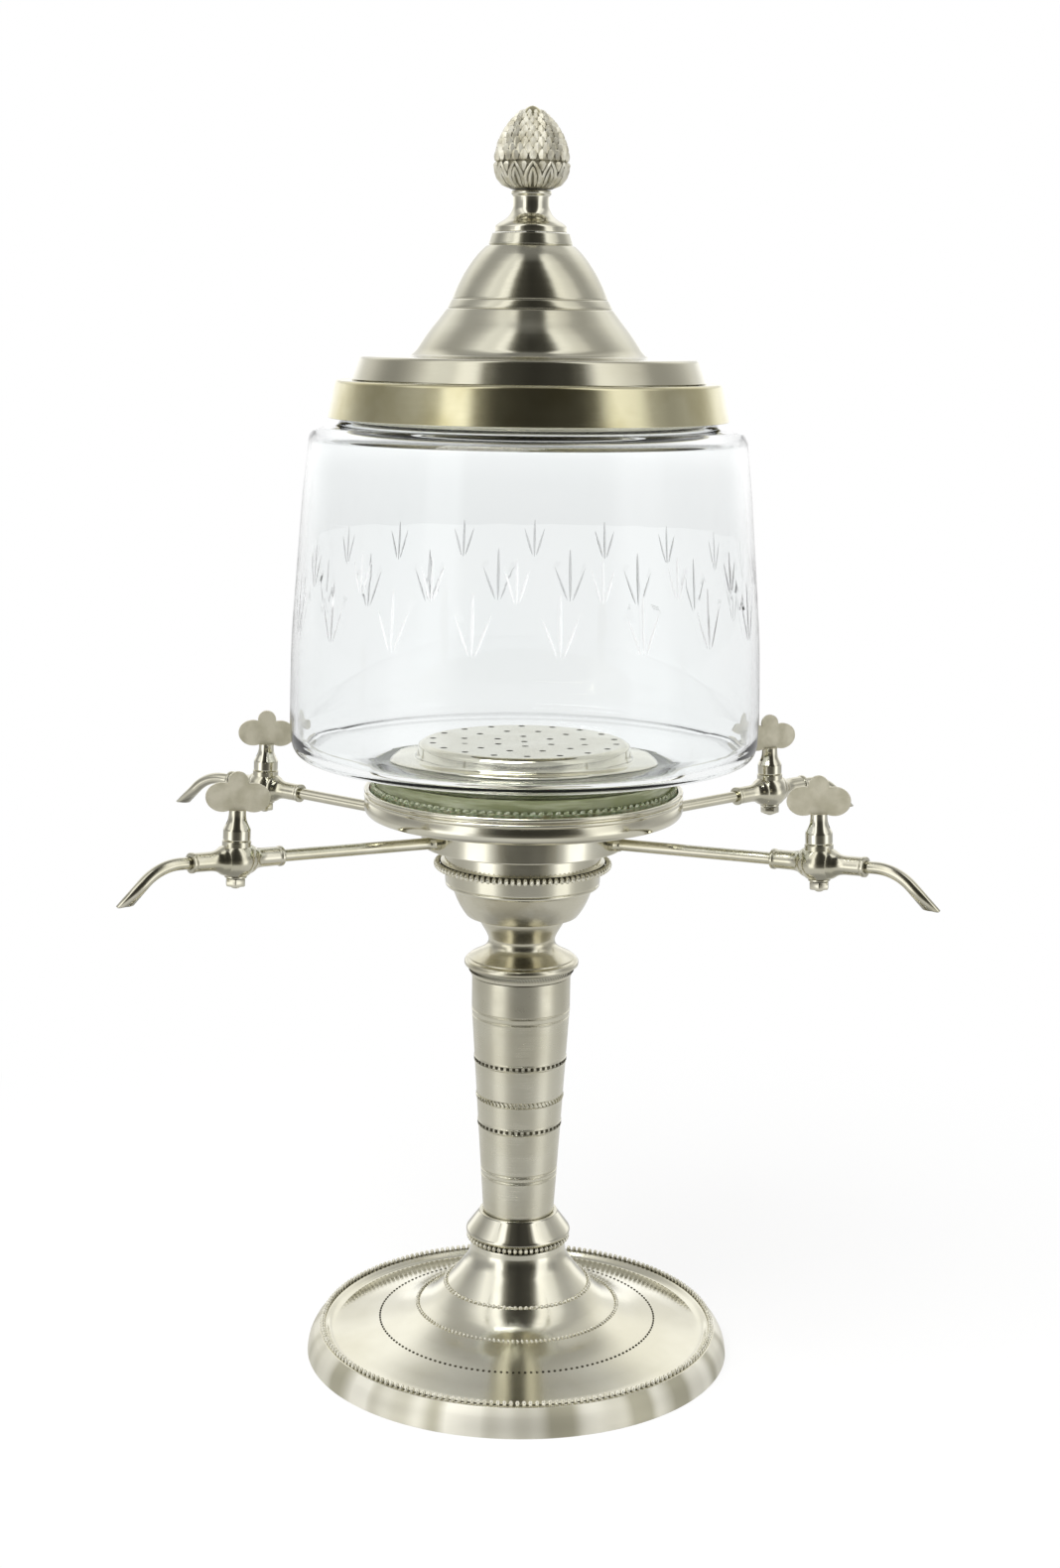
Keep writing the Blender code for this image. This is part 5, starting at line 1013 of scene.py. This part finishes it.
def buildStudio():
    world = bpy.data.worlds.new("studio")
    scene.world = world
    world.use_nodes = True
    tree = world.node_tree
    most = studio["most"]
    direction = addNode(tree, "ShaderNodeSeparateXYZ",
                        {0: addNode(tree, "ShaderNodeTexCoord", {}).outputs["Generated"]})
    towards = addNode(tree, "ShaderNodeMath", {0: direction.outputs["Y"], 1: -1}, operation="MULTIPLY")
    azimuth = addNode(tree, "ShaderNodeMath", {0: direction.outputs["X"], 1: towards.outputs["Value"]},
                      operation="ARCTAN2")
    around = addNode(tree, "ShaderNodeMapRange",
                     {"Value": azimuth.outputs["Value"], "From Min": -math.pi,
                      "From Max": math.pi}).outputs["Result"]
    height = addNode(tree, "ShaderNodeMapRange",
                     {"Value": direction.outputs["Z"], "From Min": -1, "From Max": 1}).outputs["Result"]
    levels = []
    for level in ("table", "middle", "upper"):
        ramp = addNode(tree, "ShaderNodeValToRGB", {0: around})
        fillRamp(ramp, [(0.5 + degrees / 360,
                         [bright / most * (part if warmth else 1) for part in studio["warm"]] + [1])
                        for degrees, bright, warmth in studio[level]])
        levels.append(ramp.outputs["Color"])
    front = levels[0]
    for (low, high), above in zip(studio["rises"], levels[1:]):
        rising = addNode(tree, "ShaderNodeMapRange",
                         {"Value": direction.outputs["Z"], "From Min": low, "From Max": high},
                         interpolation_type="SMOOTHSTEP")
        front = addNode(tree, "ShaderNodeMix", {"Factor": rising.outputs["Result"], "A": front, "B": above},
                        data_type="RGBA").outputs["Result"]
    behind = addNode(tree, "ShaderNodeValToRGB", {0: height})
    fillRamp(behind, [(0.5 + up / 2, [bright / most] * 3 + [1]) for up, bright in studio["behind"]])
    table = addNode(tree, "ShaderNodeValToRGB", {0: height})
    fillRamp(table, [(0.5 + up / 2, [bright / most] * 3 + [1]) for up, bright in studio["below"]])
    away = addNode(tree, "ShaderNodeMath", {0: azimuth.outputs["Value"]}, operation="ABSOLUTE")
    start, end = [math.radians(degrees) for degrees in studio["sides"]]
    side = addNode(tree, "ShaderNodeMapRange",
                   {"Value": away.outputs["Value"], "From Min": start, "From Max": end},
                   interpolation_type="SMOOTHSTEP")
    walls = addNode(tree, "ShaderNodeMix",
                    {"Factor": side.outputs["Result"], "A": front, "B": behind.outputs["Color"]},
                    data_type="RGBA")
    low, high = studio["overhead"]
    above = addNode(tree, "ShaderNodeMapRange",
                    {"Value": direction.outputs["Z"], "From Min": low, "From Max": high},
                    interpolation_type="SMOOTHSTEP")
    ceiling = [studio["ceiling"] / most] * 3 + [1]
    roofed = addNode(tree, "ShaderNodeMix",
                     {"Factor": above.outputs["Result"], "A": walls.outputs["Result"], "B": ceiling},
                     data_type="RGBA")
    low, high = studio["ground"]
    below = addNode(tree, "ShaderNodeMapRange",
                    {"Value": direction.outputs["Z"], "From Min": high, "From Max": low},
                    interpolation_type="SMOOTHSTEP")
    room = addNode(tree, "ShaderNodeMix",
                   {"Factor": below.outputs["Result"], "A": roofed.outputs["Result"],
                    "B": table.outputs["Color"]}, data_type="RGBA")
    # the backdrop is white to the eye, and about half white through the jar, whose edges are pale
    paths = addNode(tree, "ShaderNodeLightPath", {})
    through = addNode(tree, "ShaderNodeMath",
                      {0: paths.outputs["Is Transmission Ray"], 1: studio["throughGlass"]},
                      operation="MULTIPLY")
    seen = addNode(tree, "ShaderNodeMath", {0: paths.outputs["Is Camera Ray"], 1: through.outputs["Value"]},
                   operation="MAXIMUM")
    roomLight = addNode(tree, "ShaderNodeBackground", {"Color": room.outputs["Result"], "Strength": most})
    whiteLight = addNode(tree, "ShaderNodeBackground", {"Color": (1, 1, 1, 1), "Strength": 1})
    mixed = addNode(tree, "ShaderNodeMixShader",
                    {0: seen.outputs["Value"], 1: roomLight.outputs["Background"],
                     2: whiteLight.outputs["Background"]})
    tree.links.new(mixed.outputs["Shader"], tree.nodes["World Output"].inputs["Surface"])


buildStudio()
softbox = {"size": 1.2, "energy": 32, "place": (-0.5, -0.8, 1.7), "aim": (0, 0, 0.2)}  # metres and watts
lampData = bpy.data.lights.new("softbox", "AREA")
lampData.shape = "SQUARE"
lampData.size = softbox["size"]
lampData.energy = softbox["energy"]
lamp = bpy.data.objects.new("softbox", lampData)
scene.collection.objects.link(lamp)
lamp.location = softbox["place"]
lamp.rotation_euler = (Vector(softbox["aim"]) - lamp.location).to_track_quat("-Z", "Y").to_euler()
lamp.visible_glossy = False

paperSheet = {"size": 9, "colour": "#F4F4F2", "roughness": 0.9, "near": 0.1, "far": 0.5,
              "nearWhite": 0.8}  # metres
deselectAll()
bpy.ops.mesh.primitive_plane_add(size=paperSheet["size"])
floor = bpy.context.object
floor.name = "floor"
floor.visible_glossy = False
paper, tree, shader = startMaterial("whitePaper", 0, paperSheet["roughness"])
shader.inputs["Base Color"].default_value = hexToLinear(paperSheet["colour"])
seen = addNode(tree, "ShaderNodeLightPath", {})
eye = addNode(tree, "ShaderNodeMath",
              {0: seen.outputs["Is Camera Ray"], 1: seen.outputs["Is Transmission Ray"]},
              operation="MAXIMUM")
# the floor turns fully white with the distance, so that no horizon shows; near the foot it keeps the shadow
distance = addNode(tree, "ShaderNodeVectorMath",
                   {0: addNode(tree, "ShaderNodeTexCoord", {}).outputs["Object"]}, operation="LENGTH")
fading = addNode(tree, "ShaderNodeMapRange",
                 {"Value": distance.outputs["Value"], "From Min": paperSheet["near"],
                  "From Max": paperSheet["far"], "To Min": paperSheet["nearWhite"], "To Max": 1})
share = addNode(tree, "ShaderNodeMath", {0: eye.outputs["Value"], 1: fading.outputs["Result"]},
                operation="MULTIPLY")
white = addNode(tree, "ShaderNodeEmission", {"Color": (1, 1, 1, 1), "Strength": 1})
mixed = addNode(tree, "ShaderNodeMixShader",
                {0: share.outputs["Value"], 1: shader.outputs["BSDF"], 2: white.outputs["Emission"]})
tree.links.new(mixed.outputs["Shader"], tree.nodes["Material Output"].inputs["Surface"])
floor.data.materials.append(paper)
scene.view_settings.view_transform = "Standard"
